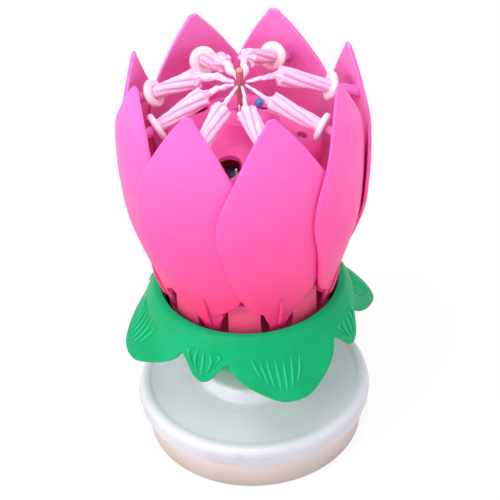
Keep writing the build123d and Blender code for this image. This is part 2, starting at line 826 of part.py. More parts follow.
with BuildPart() as base_cup:
    with BuildSketch(Plane.XZ):
        with BuildLine():
            Polyline(
                (0, 0),
                (base_foot_radius, 0),
                (base_cup_radius, base_joint_z),
                (tongue_radius, base_joint_z),
                (tongue_radius, tongue_top_z),
                (tongue_radius - tongue_wall, tongue_top_z),
                (base_foot_radius - cup_wall, cup_floor),
                (0, cup_floor),
                close=True,
            )
        make_face()
    revolve(axis=Axis.Z)
    fillet(base_cup.edges().filter_by(GeomType.CIRCLE).sort_by(Axis.Z)[0], foot_fillet)
    with BuildSketch(Plane.XY.offset(cup_floor)):
        Circle(spindle_socket_radius)
    extrude(amount=spindle_socket_top_z - cup_floor)
    with BuildSketch(Plane.XY.offset(spindle_bottom_z)):
        Circle(spindle_radius + shaft_clearance)
    extrude(amount=spindle_socket_top_z, mode=Mode.SUBTRACT)
    with BuildSketch(Plane.XY.offset(cup_floor)):
        with Locations(idler_xy):
            Circle(idler_seat_radius)
    extrude(amount=idler_bottom_z - body_gap - cup_floor)
    with BuildSketch(Plane.XY.offset(cup_floor)):
        with Locations(idler_xy):
            Circle(idler_post_radius)
    extrude(amount=idler_post_top_z - cup_floor)
    with BuildSketch(Plane.XY.offset(cup_floor)):
        with Locations(motor_xy):
            Circle(motor_radius + motor_ring_wall)
            Circle(motor_radius + shaft_clearance, mode=Mode.SUBTRACT)
        Circle(drive_pitch_radius + gear_module, mode=Mode.SUBTRACT)
    extrude(amount=motor_ring_height)
    with BuildSketch(Plane.XY.offset(cup_floor)):
        with Locations((bay_x, 0)):
            Rectangle(2 * (bay_half_width + bay_wall), 2 * well_half_length)
        with Locations((bay_x, door_screw_y)):
            Circle(screw_boss_radius)
    extrude(amount=bay_top_z - cup_floor)
    with BuildSketch(Plane.XY.offset(door_top_z)):
        with Locations((bay_x, 0)):
            Rectangle(2 * bay_half_width, 2 * bay_half_length)
    extrude(amount=bay_top_z, mode=Mode.SUBTRACT)
    with BuildSketch(Plane.XY):
        with Locations((bay_x, door_centre_y)):
            Rectangle(2 * door_half_width, door_length)
    extrude(amount=door_top_z, mode=Mode.SUBTRACT)
    with BuildSketch(Plane.XY.offset(door_top_z)):
        with Locations((bay_x, door_screw_y)):
            Circle(screw_radius)
    extrude(amount=screw_boss_top_z - door_top_z, mode=Mode.SUBTRACT)
    with BuildSketch(Plane.XY):
        with Locations((switch_x + knob_travel / 2, switch_y)):
            Rectangle(slot_length, slot_width)
    extrude(amount=cup_floor, mode=Mode.SUBTRACT)
save(base_cup.part, "base_cup")

# Base cover: rounded rim, gently rising top, central boss and bearing tube
cover_lip_step = 1.2
cover_lip_radius = base_cup_radius + cover_lip_step
cover_bulge = 0.4
cover_radius = cover_lip_radius + cover_bulge
cover_wide_z = 13.4
cover_rim_z = 16.9
cover_rim_round = 2.2
cover_rim_draft = 0.7
ridge_inset = 3.6
ridge_radius = cover_radius - ridge_inset
ridge_drop = 0.4
boss_radius = 16.2
boss_foot_z = 19.4
boss_round = 1.7
cover_wall = 1.6
bearing_wall = 1.6
bearing_bottom_z = 13.5
inner_lip_radius = tongue_radius + shaft_clearance
with BuildPart() as base_cover:
    with BuildSketch(Plane.XZ):
        with BuildLine():
            Polyline(
                (0, base_joint_z),
                (cover_lip_radius, base_joint_z),
                (cover_radius, cover_wide_z),
                (cover_radius - cover_rim_draft, cover_rim_z),
                (ridge_radius, cover_rim_z),
                (ridge_radius - ridge_drop, cover_rim_z - ridge_drop),
                (boss_radius + boss_round / 2, boss_foot_z),
                (boss_radius, cover_top_z),
                (0, cover_top_z),
                close=True,
            )
        make_face()
    revolve(axis=Axis.Z)
    rings = base_cover.edges().filter_by(GeomType.CIRCLE)
    boss_edge = rings.group_by(Axis.Z)[-1]
    rim_rings = rings.filter_by(lambda ring: abs(ring.center().Z - cover_rim_z) < ridge_drop / 2)
    rim_edge = rim_rings.sort_by(SortBy.RADIUS)[-1]
    fillet(boss_edge, boss_round)
    fillet(rim_edge, cover_rim_round)
    with BuildSketch(Plane.XZ):
        with BuildLine():
            inside_top_z = cover_top_z - cover_wall
            inside_rim_z = cover_rim_z - ridge_drop - cover_wall
            Polyline(
                (0, base_joint_z),
                (inner_lip_radius, base_joint_z),
                (inner_lip_radius, tongue_top_z + slide_clearance),
                (ridge_radius, inside_rim_z),
                (boss_radius, boss_foot_z - cover_wall),
                (boss_radius - cover_wall, inside_top_z - boss_round),
                (boss_radius - cover_wall - boss_round, inside_top_z),
                (0, inside_top_z),
                close=True,
            )
        make_face()
    revolve(axis=Axis.Z, mode=Mode.SUBTRACT)
    with BuildSketch(Plane.XY.offset(bearing_bottom_z)):
        Circle(spindle_radius + bearing_wall)
    extrude(amount=inside_top_z - bearing_bottom_z)
    with BuildSketch(Plane.XY.offset(bearing_bottom_z)):
        Circle(spindle_radius + shaft_clearance)
    extrude(amount=cover_top_z - bearing_bottom_z, mode=Mode.SUBTRACT)
save(base_cover.part, "base_cover")

# Spindle: from the socket in the cup's floor, through the cover, to the hub
with BuildPart() as spindle:
    with BuildSketch(Plane.XY.offset(spindle_bottom_z)):
        Circle(spindle_radius)
    extrude(amount=spindle_top_z - spindle_bottom_z)
save(spindle.part, "spindle")

# Motor can with its nub and shaft hole
with BuildPart() as drive_motor:
    with BuildSketch(Plane.XY.offset(cup_floor)):
        with Locations(motor_xy):
            Circle(motor_radius)
    extrude(amount=motor_top_z - cup_floor)
    with BuildSketch(Plane.XY.offset(motor_top_z)):
        with Locations(motor_xy):
            Circle(motor_nub_radius)
    extrude(amount=motor_nub_height)
    with BuildSketch(Plane.XY.offset(motor_shaft_bottom_z)):
        with Locations(motor_xy):
            Circle(motor_shaft_radius + shaft_clearance)
    extrude(amount=motor_top_z + motor_nub_height - motor_shaft_bottom_z, mode=Mode.SUBTRACT)
save(drive_motor.part, "drive_motor")

# Battery bay: door, screw, two button cells on their edges and the contact at each end
with BuildPart() as battery_door:
    with BuildSketch(Plane.XY.offset(door_top_z)):
        with Locations((bay_x, door_centre_y)):
            Rectangle(2 * (door_half_width - slide_clearance), door_length - 2 * slide_clearance)
        with Locations((bay_x, door_screw_y)):
            Circle(screw_radius, mode=Mode.SUBTRACT)
    extrude(amount=-door_thickness)
    with BuildSketch(Plane.XY.offset(door_top_z - door_thickness)):
        with Locations((bay_x, door_screw_y)):
            Circle(screw_head_radius)
    extrude(amount=screw_head_height, mode=Mode.SUBTRACT)
save(battery_door.part, "battery_door")

screw_slot_width = 0.4
with BuildPart() as door_screw:
    with BuildSketch(Plane.XY.offset(door_top_z - door_thickness)):
        with Locations((bay_x, door_screw_y)):
            Circle(screw_head_radius)
    extrude(amount=screw_head_height)
    with BuildSketch(Plane.XY.offset(door_top_z - door_thickness)):
        with Locations((bay_x, door_screw_y)):
            Circle(screw_radius)
    extrude(amount=screw_boss_top_z - door_top_z + door_thickness)
    with BuildSketch(Plane.XY.offset(door_top_z - door_thickness)):
        with Locations((bay_x, door_screw_y)):
            Rectangle(2 * screw_head_radius, screw_slot_width)
            Rectangle(screw_slot_width, 2 * screw_head_radius)
    extrude(amount=screw_head_height / 2, mode=Mode.SUBTRACT)
save(door_screw.part, "door_screw")

cell_axis_z = door_top_z + cell_radius
for index, start in enumerate((-cell_length, 0)):
    with BuildPart() as button_cell:
        with BuildSketch(Plane(origin=(bay_x, start, cell_axis_z), z_dir=(0, 1, 0))):
            Circle(cell_radius)
        extrude(amount=cell_length)
    save(button_cell.part, f"button_cell_{index + 1}")

contact_width = 9.0
contact_bottom_z = 2.6
for index, side in enumerate((-1, 1)):
    with BuildPart() as cell_contact:
        with Locations((bay_x, side * (cell_length + contact_thickness / 2), contact_bottom_z)):
            Box(
                contact_width,
                contact_thickness,
                bay_top_z - contact_bottom_z,
                align=(Align.CENTER, Align.CENTER, Align.MIN),
            )
    save(cell_contact.part, f"cell_contact_{index + 1}")

# Slide switch: housing on the cup's floor and a flanged knob in the slot below it
switch_centre = (switch_x + knob_travel / 2, switch_y)
flange_length = knob_length + 2 * knob_flange
flange_width = knob_width + 2 * knob_flange
cavity_length = flange_length + knob_travel + 2 * side_gap
cavity_width = flange_width + 2 * side_gap
flange_bottom_z = cup_floor + slide_clearance
flange_top_z = flange_bottom_z + knob_flange
with BuildPart() as switch_housing:
    with BuildSketch(Plane.XY.offset(cup_floor)):
        with Locations(switch_centre):
            Rectangle(cavity_length + 2 * switch_wall, cavity_width + 2 * switch_wall)
    extrude(amount=switch_height)
    with BuildSketch(Plane.XY.offset(cup_floor)):
        with Locations(switch_centre):
            Rectangle(cavity_length, cavity_width)
    extrude(amount=switch_height - switch_wall, mode=Mode.SUBTRACT)
save(switch_housing.part, "switch_housing")

with BuildPart() as switch_knob:
    with BuildSketch(Plane.XY.offset(knob_bottom_z)):
        with Locations((switch_x, switch_y)):
            Rectangle(knob_length, knob_width)
    extrude(amount=flange_bottom_z - knob_bottom_z)
    with BuildSketch(Plane.XY.offset(flange_bottom_z)):
        with Locations((switch_x, switch_y)):
            Rectangle(flange_length, flange_width)
    extrude(amount=flange_top_z - flange_bottom_z)
save(switch_knob.part, "switch_knob")
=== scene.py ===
import random
from math import atan2, cos, degrees, pi, radians, sin, sqrt

import bmesh
import bpy
from mathutils import Matrix, Vector, noise


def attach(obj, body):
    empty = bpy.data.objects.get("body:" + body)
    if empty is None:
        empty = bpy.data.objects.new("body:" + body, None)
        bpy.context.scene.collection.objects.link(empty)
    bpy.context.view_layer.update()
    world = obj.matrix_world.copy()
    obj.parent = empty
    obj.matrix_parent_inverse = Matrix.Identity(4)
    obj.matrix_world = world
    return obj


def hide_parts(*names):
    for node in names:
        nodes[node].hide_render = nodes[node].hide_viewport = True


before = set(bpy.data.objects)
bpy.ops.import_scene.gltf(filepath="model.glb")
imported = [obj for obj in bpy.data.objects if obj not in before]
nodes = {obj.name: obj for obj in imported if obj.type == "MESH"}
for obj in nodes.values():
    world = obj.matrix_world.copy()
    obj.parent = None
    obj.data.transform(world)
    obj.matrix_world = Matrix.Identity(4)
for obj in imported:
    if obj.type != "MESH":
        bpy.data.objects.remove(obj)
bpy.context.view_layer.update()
scene = bpy.context.scene
mm = 0.001
print("frame loaded")


# Camera, floor and light

camera = {
    "place": (0.0, -0.40639, 0.37323),
    "pitchDown": 37.37,
    "roll": -2.716,
    "lens": 127.75,
    "sensor": 36,
    "shift": (0.0041, 0.0041),
    "clip": (0.01, 20),
}
lens = bpy.data.cameras.new("camera")
lens.lens = camera["lens"]
lens.sensor_width = camera["sensor"]
lens.shift_x, lens.shift_y = camera["shift"]
lens.clip_start, lens.clip_end = camera["clip"]
cameraObject = bpy.data.objects.new("camera", lens)
scene.collection.objects.link(cameraObject)
tilt = Matrix.Rotation(radians(90 - camera["pitchDown"]), 4, "X")
roll = Matrix.Rotation(radians(camera["roll"]), 4, "Z")
cameraObject.matrix_world = Matrix.Translation(camera["place"]) @ tilt @ roll
scene.camera = cameraObject
scene.view_settings.view_transform = "Standard"


def linear(hexColour):
    channels = [int(hexColour[i:i + 2], 16) / 255 for i in (1, 3, 5)]
    return tuple(c / 12.92 if c <= 0.04045 else ((c + 0.055) / 1.055) ** 2.4 for c in channels) + (1.0,)


def addNode(tree, kind, settings=None, links=None):
    # a name or number that is one of the node's inputs sets that input, any other name sets the node itself
    node = tree.nodes.new(kind)
    for name, value in (settings or {}).items():
        if isinstance(name, str) and name not in node.inputs:
            setattr(node, name, value)
    for name, value in (settings or {}).items():
        if not isinstance(name, str) or name in node.inputs:
            node.inputs[name].default_value = value
    for name, source in (links or {}).items():
        tree.links.new(source, node.inputs[name])
    return node


def emptyMaterial(name):
    material = bpy.data.materials.new(name)
    material.use_nodes = True
    material.node_tree.nodes.clear()
    return material


def seenShare(tree):
    # 1 on rays from the camera, a mirror or glass, 0 on the rays that light the object
    ray = addNode(tree, "ShaderNodeLightPath")
    seen = addNode(
        tree, "ShaderNodeMath", {"operation": "MAXIMUM"},
        {0: ray.outputs["Is Camera Ray"], 1: ray.outputs["Is Glossy Ray"]})
    seen = addNode(
        tree, "ShaderNodeMath", {"operation": "MAXIMUM"},
        {0: seen.outputs[0], 1: ray.outputs["Is Transmission Ray"]})
    return seen.outputs[0]


light = {
    "world": 0.8,
    "worldColour": "#FAFAFF",
    "lamps": [
        {"name": "keyLight", "place": (-0.68, -0.60, 0.72), "size": 0.55, "power": 5.4, "colour": "#FFFCFA"},
        {"name": "fillLight", "place": (0.80, -0.30, 0.45), "size": 0.6, "power": 0.7, "colour": "#FAFAFF"},
        {"name": "topLight", "place": (-0.05, -0.30, 1.00), "size": 0.6, "power": 3.8, "colour": "#FFFFFF"},
        {"name": "sideLight", "place": (-0.85, -0.20, 0.20), "size": 0.5, "power": 1.1, "colour": "#FFFFFF"},
    ],
    "aim": (0.0, 0.0, 0.065),
}
world = bpy.data.worlds.new("studio")
world.use_nodes = True
scene.world = world
tree = world.node_tree
tree.nodes.clear()
seen = seenShare(tree)
ambient = addNode(tree, "ShaderNodeBackground", {"Color": linear(light["worldColour"]), "Strength": light["world"]})
white = addNode(tree, "ShaderNodeBackground", {"Color": (1, 1, 1, 1), "Strength": 1.0})
mixed = addNode(tree, "ShaderNodeMixShader", {}, {0: seen, 1: ambient.outputs[0], 2: white.outputs[0]})
addNode(tree, "ShaderNodeOutputWorld", {}, {"Surface": mixed.outputs[0]})
for lamp in light["lamps"]:
    data = bpy.data.lights.new(lamp["name"], "AREA")
    data.shape = "DISK"
    data.size = lamp["size"]
    data.energy = lamp["power"]
    data.color = linear(lamp["colour"])[:3]
    lampObject = bpy.data.objects.new(lamp["name"], data)
    scene.collection.objects.link(lampObject)
    place = Vector(lamp["place"])
    turned = (place - Vector(light["aim"])).to_track_quat("Z", "Y").to_matrix().to_4x4()
    lampObject.matrix_world = Matrix.Translation(place) @ turned

floor = {"size": 6.0, "colour": "#FCFCFC", "whiteShare": 0.86}
material = emptyMaterial("paperFloor")
tree = material.node_tree
seen = seenShare(tree)
share = addNode(tree, "ShaderNodeMath", {"operation": "MULTIPLY", 1: floor["whiteShare"]}, {0: seen})
paper = addNode(tree, "ShaderNodeBsdfDiffuse", {"Color": linear(floor["colour"])})
glow = addNode(tree, "ShaderNodeEmission", {"Color": (1, 1, 1, 1), "Strength": 1.0})
mixed = addNode(tree, "ShaderNodeMixShader", {}, {0: share.outputs[0], 1: paper.outputs[0], 2: glow.outputs[0]})
addNode(tree, "ShaderNodeOutputMaterial", {}, {"Surface": mixed.outputs[0]})
bm = bmesh.new()
bmesh.ops.create_grid(bm, x_segments=1, y_segments=1, size=floor["size"] / 2)
mesh = bpy.data.meshes.new("floor")
bm.to_mesh(mesh)
bm.free()
mesh.materials.append(material)
floorObject = bpy.data.objects.new("floor", mesh)
scene.collection.objects.link(floorObject)
print("camera, floor and light made")


# Materials

def mouldedPlastic(name, look):
    # low and high are the colours at the two heights; mottle is the slow change of tone in a moulding;
    # grain is its skin, drawn coarser than the real one so that it shows;
    # fold paints a second colour where a piece marks its mesh: painted shade in the candles' flutes, a painted
    # highlight on the collar's vein crests
    material = emptyMaterial(name)
    tree = material.node_tree
    spot = addNode(tree, "ShaderNodeTexCoord").outputs["Object"]
    parts = addNode(tree, "ShaderNodeSeparateXYZ", {}, {0: spot})
    lowZ, highZ = look.get("heights", (0, 126))
    height = addNode(tree, "ShaderNodeMapRange", {"From Min": lowZ * mm, "From Max": highZ * mm}, {"Value": parts.outputs["Z"]})
    toned = addNode(
        tree, "ShaderNodeMix", {"data_type": "RGBA", 6: linear(look["low"]), 7: linear(look.get("high", look["low"]))},
        {0: height.outputs[0]})
    mottle = addNode(
        tree, "ShaderNodeTexNoise", {"Scale": 1 / (look.get("mottleSize", 14) * mm), "Detail": 2.0}, {"Vector": spot})
    amount = addNode(
        tree, "ShaderNodeMapRange", {"From Min": 0.35, "From Max": 0.65, "To Max": look.get("mottleShare", 0.25)},
        {"Value": mottle.outputs[0]})
    colour = addNode(
        tree, "ShaderNodeMix", {"data_type": "RGBA", 7: linear(look.get("mottle", look["low"]))},
        {0: amount.outputs[0], 6: toned.outputs[2]})
    if "fold" in look:
        paintedLightMark = addNode(tree, "ShaderNodeAttribute", {"attribute_name": "fold"})
        colour = addNode(
            tree, "ShaderNodeMix", {"data_type": "RGBA", 7: linear(look["fold"])},
            {0: paintedLightMark.outputs["Fac"], 6: colour.outputs[2]})
    grain = addNode(
        tree, "ShaderNodeTexNoise", {"Scale": 1 / (look.get("grainSize", 0.6) * mm), "Detail": 3.0}, {"Vector": spot})
    bump = addNode(
        tree, "ShaderNodeBump", {"Strength": 1.0, "Distance": look.get("grainHeight", 0.01) * mm}, {"Height": grain.outputs[0]})
    low, high = look.get("roughness", (0.32, 0.45))
    rough = addNode(
        tree, "ShaderNodeMapRange", {"From Min": 0.3, "From Max": 0.7, "To Min": low, "To Max": high},
        {"Value": mottle.outputs[0]})
    shader = addNode(
        tree, "ShaderNodeBsdfPrincipled",
        {"IOR": look.get("ior", 1.49), "Metallic": look.get("metallic", 0.0), "Specular IOR Level": look.get("shine", 0.5),
         "Subsurface Weight": look.get("soft", 0.0), "Subsurface Scale": look.get("softDepth", 1.0) * mm,
         "Subsurface Radius": look.get("softRadius", (1.0, 0.4, 0.5))},
        {"Base Color": colour.outputs[2], "Roughness": rough.outputs[0], "Normal": bump.outputs[0]})
    addNode(tree, "ShaderNodeOutputMaterial", {}, {"Surface": shader.outputs[0]})
    return material


# petals: injection-moulded polypropylene, soft gloss, darker towards the foot and paler and bluer towards the thin
# tips: painted shade at the foot and painted light at the tips, for the light that comes through the thin plastic
rosePolypropylene = mouldedPlastic("rosePolypropylene", {
    "low": "#E62A6E", "high": "#FF6ABE", "heights": (60, 120), "mottle": "#FF58AA", "mottleShare": 0.12,
    "roughness": (0.40, 0.52), "shine": 0.3, "soft": 0.7, "softDepth": 1.6, "softRadius": (1.0, 0.4, 0.6), "grainHeight": 0.006})
# their inner faces get a paler copy of the petal colour: painted light, for the light that also reaches them through
# the shell
roseInsidePaintedLight = mouldedPlastic("roseInsidePaintedLight", {
    "low": "#FF66B0", "high": "#FF90D8", "heights": (68, 110), "mottle": "#FF84CC", "mottleShare": 0.2,
    "roughness": (0.42, 0.54), "shine": 0.3, "soft": 0.7, "softDepth": 1.6, "softRadius": (1.0, 0.4, 0.6), "grainHeight": 0.006})
# collar: moulded polyethylene, waxy; the paler colour on the vein crests is a painted highlight
leafPolyethylene = mouldedPlastic("leafPolyethylene", {
    "low": "#00965A", "high": "#009C5E", "heights": (38, 54), "mottle": "#00B47C", "mottleShare": 0.3,
    "mottleSize": 9, "fold": "#2CC890", "roughness": (0.40, 0.52), "shine": 0.15, "soft": 0.1,
    "softDepth": 1.2, "softRadius": (0.1, 1.0, 0.5), "grainHeight": 0.006})
# base cover: natural polypropylene, milky with a cool cast, darker down its rim and side wall: painted shade
milkPolypropylene = mouldedPlastic("milkPolypropylene", {
    "low": "#B6B4BC", "high": "#DCDEE4", "heights": (14, 18), "mottle": "#DAD8E0", "mottleShare": 0.35, "mottleSize": 18,
    "roughness": (0.25, 0.36), "soft": 0.35, "softDepth": 2.5, "softRadius": (1.0, 1.0, 1.0), "grainHeight": 0.004})
# base cup: cream ABS with a fine spark-eroded skin, darker towards the bottom: painted shade for the shadow where it
# meets the floor
creamAbs = mouldedPlastic("creamAbs", {
    "low": "#A4928E", "high": "#CEBEBA", "heights": (0, 9), "mottle": "#D6C8C4", "mottleShare": 0.2, "roughness": (0.42, 0.54),
    "soft": 0.15, "softDepth": 1.0, "softRadius": (1.0, 0.8, 0.7), "grainSize": 0.35, "grainHeight": 0.01})
# sound dome: polystyrene, strong pink, more salmon towards the foot: painted shade where the petals shade it
pinkPolystyrene = mouldedPlastic("pinkPolystyrene", {
    "low": "#FC6090", "high": "#FF64B4", "heights": (64, 96), "mottle": "#FF78C0", "mottleShare": 0.2,
    "roughness": (0.38, 0.5), "shine": 0.35, "soft": 0.6, "softDepth": 2.0, "softRadius": (1.0, 0.4, 0.7), "grainHeight": 0.006})
# hub and opening plate: the same resin, mostly in shade, drawn in a deeper red as painted shade
resinPaintedShadeRed = mouldedPlastic("resinPaintedShadeRed", {
    "low": "#DC4672", "mottle": "#E25280", "roughness": (0.4, 0.52), "shine": 0.3, "soft": 0.3, "softRadius": (1.0, 0.3, 0.4)})
# candle cups: white polypropylene with a pink tint, a painted reflection of the pink round it
cupPolypropylene = mouldedPlastic("cupPolypropylene", {
    "low": "#FBE6EA", "mottle": "#FFF1F0", "roughness": (0.34, 0.46), "soft": 0.3, "softDepth": 1.2,
    "softRadius": (1.0, 0.7, 0.8)})
# candles: tinted paraffin, satin and cloudy; the darker colour down in the flutes is painted shade
pinkParaffin = mouldedPlastic("pinkParaffin", {
    "low": "#FFB4E0", "high": "#FFC4E6", "mottle": "#FFDCF2", "mottleShare": 0.5, "mottleSize": 2.2,
    "fold": "#F294C6", "ior": 1.43, "roughness": (0.4, 0.6), "soft": 0.4, "softDepth": 1.4,
    "softRadius": (1.0, 0.55, 0.75), "grainSize": 0.5, "grainHeight": 0.03})
# wicks: cotton cord soaked in the same wax, lumpy where drops have set
waxedCotton = mouldedPlastic("waxedCotton", {
    "low": "#FFC9EA", "mottle": "#FFE8F6", "mottleShare": 0.6, "mottleSize": 1.2, "ior": 1.43, "roughness": (0.45, 0.65),
    "soft": 0.3, "softDepth": 0.8, "softRadius": (1.0, 0.6, 0.8), "grainSize": 0.4, "grainHeight": 0.05})
# fuse: sparkler powder on a wire, dry and brown with paler grains
sparklerPowder = mouldedPlastic("sparklerPowder", {
    "low": "#A43A50", "high": "#BC5462", "heights": (112, 124), "mottle": "#CC7478", "mottleShare": 0.45, "mottleSize": 0.9,
    "roughness": (0.7, 0.9), "grainSize": 0.35, "grainHeight": 0.08})
# its tip: the same powder where it was cut, paler and less dry
fuseTip = mouldedPlastic("fuseTip", {
    "low": "#E08A7C", "mottle": "#F0A898", "mottleShare": 0.6, "mottleSize": 0.8, "roughness": (0.6, 0.8),
    "grainSize": 0.35, "grainHeight": 0.06})
# heat beads: dipped epoxy resin, glossy
blueEpoxy = mouldedPlastic("blueEpoxy", {
    "low": "#3C82C8", "mottle": "#5A9CDA", "mottleSize": 1.0, "roughness": (0.15, 0.25), "ior": 1.55})
# board: phenolic paper, matt, its colour reddened with painted light for the light in the drum
phenolicPaper = mouldedPlastic("phenolicPaper", {
    "low": "#FF4C86", "mottle": "#FF6494", "mottleSize": 2.0, "roughness": (0.5, 0.6)})
# the block on it: cast resin, black-blue with a dull shine
navyResin = mouldedPlastic("navyResin", {
    "low": "#24103C", "mottle": "#34204C", "mottleSize": 2.0, "roughness": (0.35, 0.5), "ior": 1.55})
# bead's lead: enamelled copper, dark and glossy
enamelledWire = mouldedPlastic("enamelledWire", {
    "low": "#501828", "mottle": "#602030", "mottleSize": 0.8, "roughness": (0.2, 0.3)})
# sensor: brown epoxy dipped over a chip
brownEpoxy = mouldedPlastic("brownEpoxy", {
    "low": "#B07A74", "mottle": "#C08C84", "mottleSize": 0.8, "roughness": (0.3, 0.4)})
# gears and knob: acetal, white and slightly waxy
whiteAcetal = mouldedPlastic("whiteAcetal", {
    "low": "#EFEFEB", "mottle": "#FAFAF6", "roughness": (0.3, 0.42), "soft": 0.15})
# cells, spindle, screw and motor can: nickel-plated steel, drawn and faintly streaked
nickelSteel = mouldedPlastic("nickelSteel", {
    "low": "#CFCFD2", "mottle": "#BEBEC4", "mottleSize": 3.0, "metallic": 1.0, "ior": 1.5, "roughness": (0.2, 0.34),
    "grainSize": 0.25, "grainHeight": 0.003})
# hinge wire: steel under pink lacquer, so it sinks into the seat's colour
pinkLacquer = mouldedPlastic("pinkLacquer", {
    "low": "#D04068", "mottle": "#D84C74", "mottleSize": 2.0, "roughness": (0.35, 0.5)})
# contacts and sounder: rolled brass
rolledBrass = mouldedPlastic("rolledBrass", {
    "low": "#D8B56A", "mottle": "#C8A258", "mottleSize": 3.0, "metallic": 1.0, "ior": 1.5, "roughness": (0.24, 0.38),
    "grainSize": 0.25, "grainHeight": 0.003})
print("materials made")


# How the pieces are shaped: lengths in millimetres until finishPiece scales them

def curveAt(table, place):
    # smooth curve through (place, value) pairs
    last = len(table) - 1
    i = max(0, min(last - 1, sum(1 for known, value in table if known <= place) - 1))

    def slope(k):
        before, after = table[max(k - 1, 0)], table[min(k + 1, last)]
        return (after[1] - before[1]) / (after[0] - before[0])

    (x0, y0), (x1, y1) = table[i], table[i + 1]
    span = x1 - x0
    t = (place - x0) / span
    return ((2 * t**3 - 3 * t**2 + 1) * y0 + (t**3 - 2 * t**2 + t) * span * slope(i)
            + (3 * t**2 - 2 * t**3) * y1 + (t**3 - t**2) * span * slope(i + 1))


def wrapGrid(bm, around, along, placeAt):
    # a grid whose first side goes round the piece and second side along it; seams and poles merge when it is finished
    made = bmesh.ops.create_grid(bm, x_segments=around, y_segments=along, size=0.5)["verts"]
    for corner in made:
        corner.co = placeAt(corner.co.x + 0.5, corner.co.y + 0.5)
    return made


def roundedBox(bm, lowCorner, highCorner, radius):
    made = bmesh.ops.create_cube(bm, size=1.0)["verts"]
    low, high = Vector(lowCorner), Vector(highCorner)
    bmesh.ops.scale(bm, vec=high - low, verts=made)
    bmesh.ops.translate(bm, vec=(low + high) / 2, verts=made)
    edges = list({edge for corner in made for edge in corner.link_edges})
    bmesh.ops.bevel(bm, geom=edges, offset=radius, offset_type="OFFSET", segments=2, profile=0.5, affect="EDGES", material=-1)


def spinProfile(bm, points, steps, closed=True):
    corners = [bm.verts.new((r, 0, z)) for r, z in points]
    pairs = list(zip(corners, corners[1:])) + ([(corners[-1], corners[0])] if closed else [])
    edges = [bm.edges.new(pair) for pair in pairs]
    bmesh.ops.spin(bm, geom=corners + edges, axis=(0, 0, 1), cent=(0, 0, 0), angle=2 * pi, steps=steps, use_merge=True)


def finishPiece(name, bm, body, materials, replaced=(), smoothAngle=40, turn=0.0, weld=0.002):
    bmesh.ops.remove_doubles(bm, verts=bm.verts, dist=weld)
    bmesh.ops.recalc_face_normals(bm, faces=bm.faces)
    bmesh.ops.rotate(bm, verts=bm.verts, cent=(0, 0, 0), matrix=Matrix.Rotation(radians(turn), 3, "Z"))
    bmesh.ops.scale(bm, vec=(mm, mm, mm), verts=bm.verts)
    mesh = bpy.data.meshes.new(name)
    bm.to_mesh(mesh)
    bm.free()
    for material in materials:
        mesh.materials.append(material)
    mesh.shade_smooth()
    mesh.set_sharp_from_angle(angle=radians(smoothAngle))
    piece = bpy.data.objects.new(name, mesh)
    scene.collection.objects.link(piece)
    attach(piece, body)
    if replaced:
        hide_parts(*replaced)
    return piece


def smoothCopy(node, name, body, material, smoothAngle=32):
    # the CAD shape with its triangles joined, so that round faces shade as one
    bm = bmesh.new()
    bm.from_mesh(nodes[node].data)
    bmesh.ops.scale(bm, vec=(1 / mm, 1 / mm, 1 / mm), verts=bm.verts)
    for face in bm.faces:
        face.material_index = 0
    bmesh.ops.remove_doubles(bm, verts=bm.verts, dist=0.002)
    piece = finishPiece(name, bm, body, [material], (node,), smoothAngle)
    even = piece.modifiers.new("evenNormals", "WEIGHTED_NORMAL")
    even.keep_sharp = True
    return piece


# Petals

petal = {
    "count": 8, "step": 45, "firstAngle": -72,
    "footZ": 53.0, "height": 73.5, "midRadius": 33.7, "halfWidth": 17.4, "thickness": 1.0, "lap": -2.1,
    "stemHalfWidth": 4.3, "stemTopShare": 0.1088, "stemRows": 9, "tipShare": 0.982, "tipRows": 9,
    "stemEdge": [(0.0, 0.56), (0.25, 0.63), (0.5, 0.79), (0.8, 1.0), (1.0, 1.0)],
    "around": 60, "along": 88, "rimShare": 0.07,
    "profile": [(-0.02, 0.697), (0.0, 0.704), (0.082, 0.764), (0.143, 0.804), (0.286, 0.903), (0.395, 0.964),
                (0.517, 0.991), (0.612, 1.0), (0.755, 0.985), (0.864, 0.927), (1.0, 0.849), (1.02, 0.838)],
    "edge": [(0.1088, 0.247), (0.112, 0.300), (0.135, 0.440), (0.180, 0.585), (0.250, 0.715), (0.367, 0.870), (0.490, 0.990),
             (0.590, 1.000), (0.700, 0.860), (0.830, 0.560), (0.925, 0.300), (0.982, 0.110)],
    "ringShare": 0.795, "ringReach": 3.6, "ringPlace": 0.75, "ringSharpness": 12, "ringRise": 0.22,
    "hingeRadius": 21.8, "hingeZ": 60.0, "knuckleRadius": 1.5, "knuckleHalfWidth": 4.3, "boreRadius": 0.65,
    "knuckleRound": 0.15, "knuckleSteps": 24, "armOverlap": 0.3, "armRound": 0.2,
    "armReach": 4.2, "armHeight": 2.2, "toeReach": 3.2, "toeHeight": 1.6, "toeHalfWidth": 2.2,
    "rib": {"width": 1.3, "rise": 0.85, "low": 0.018, "high": 0.195, "sink": 0.4},
}
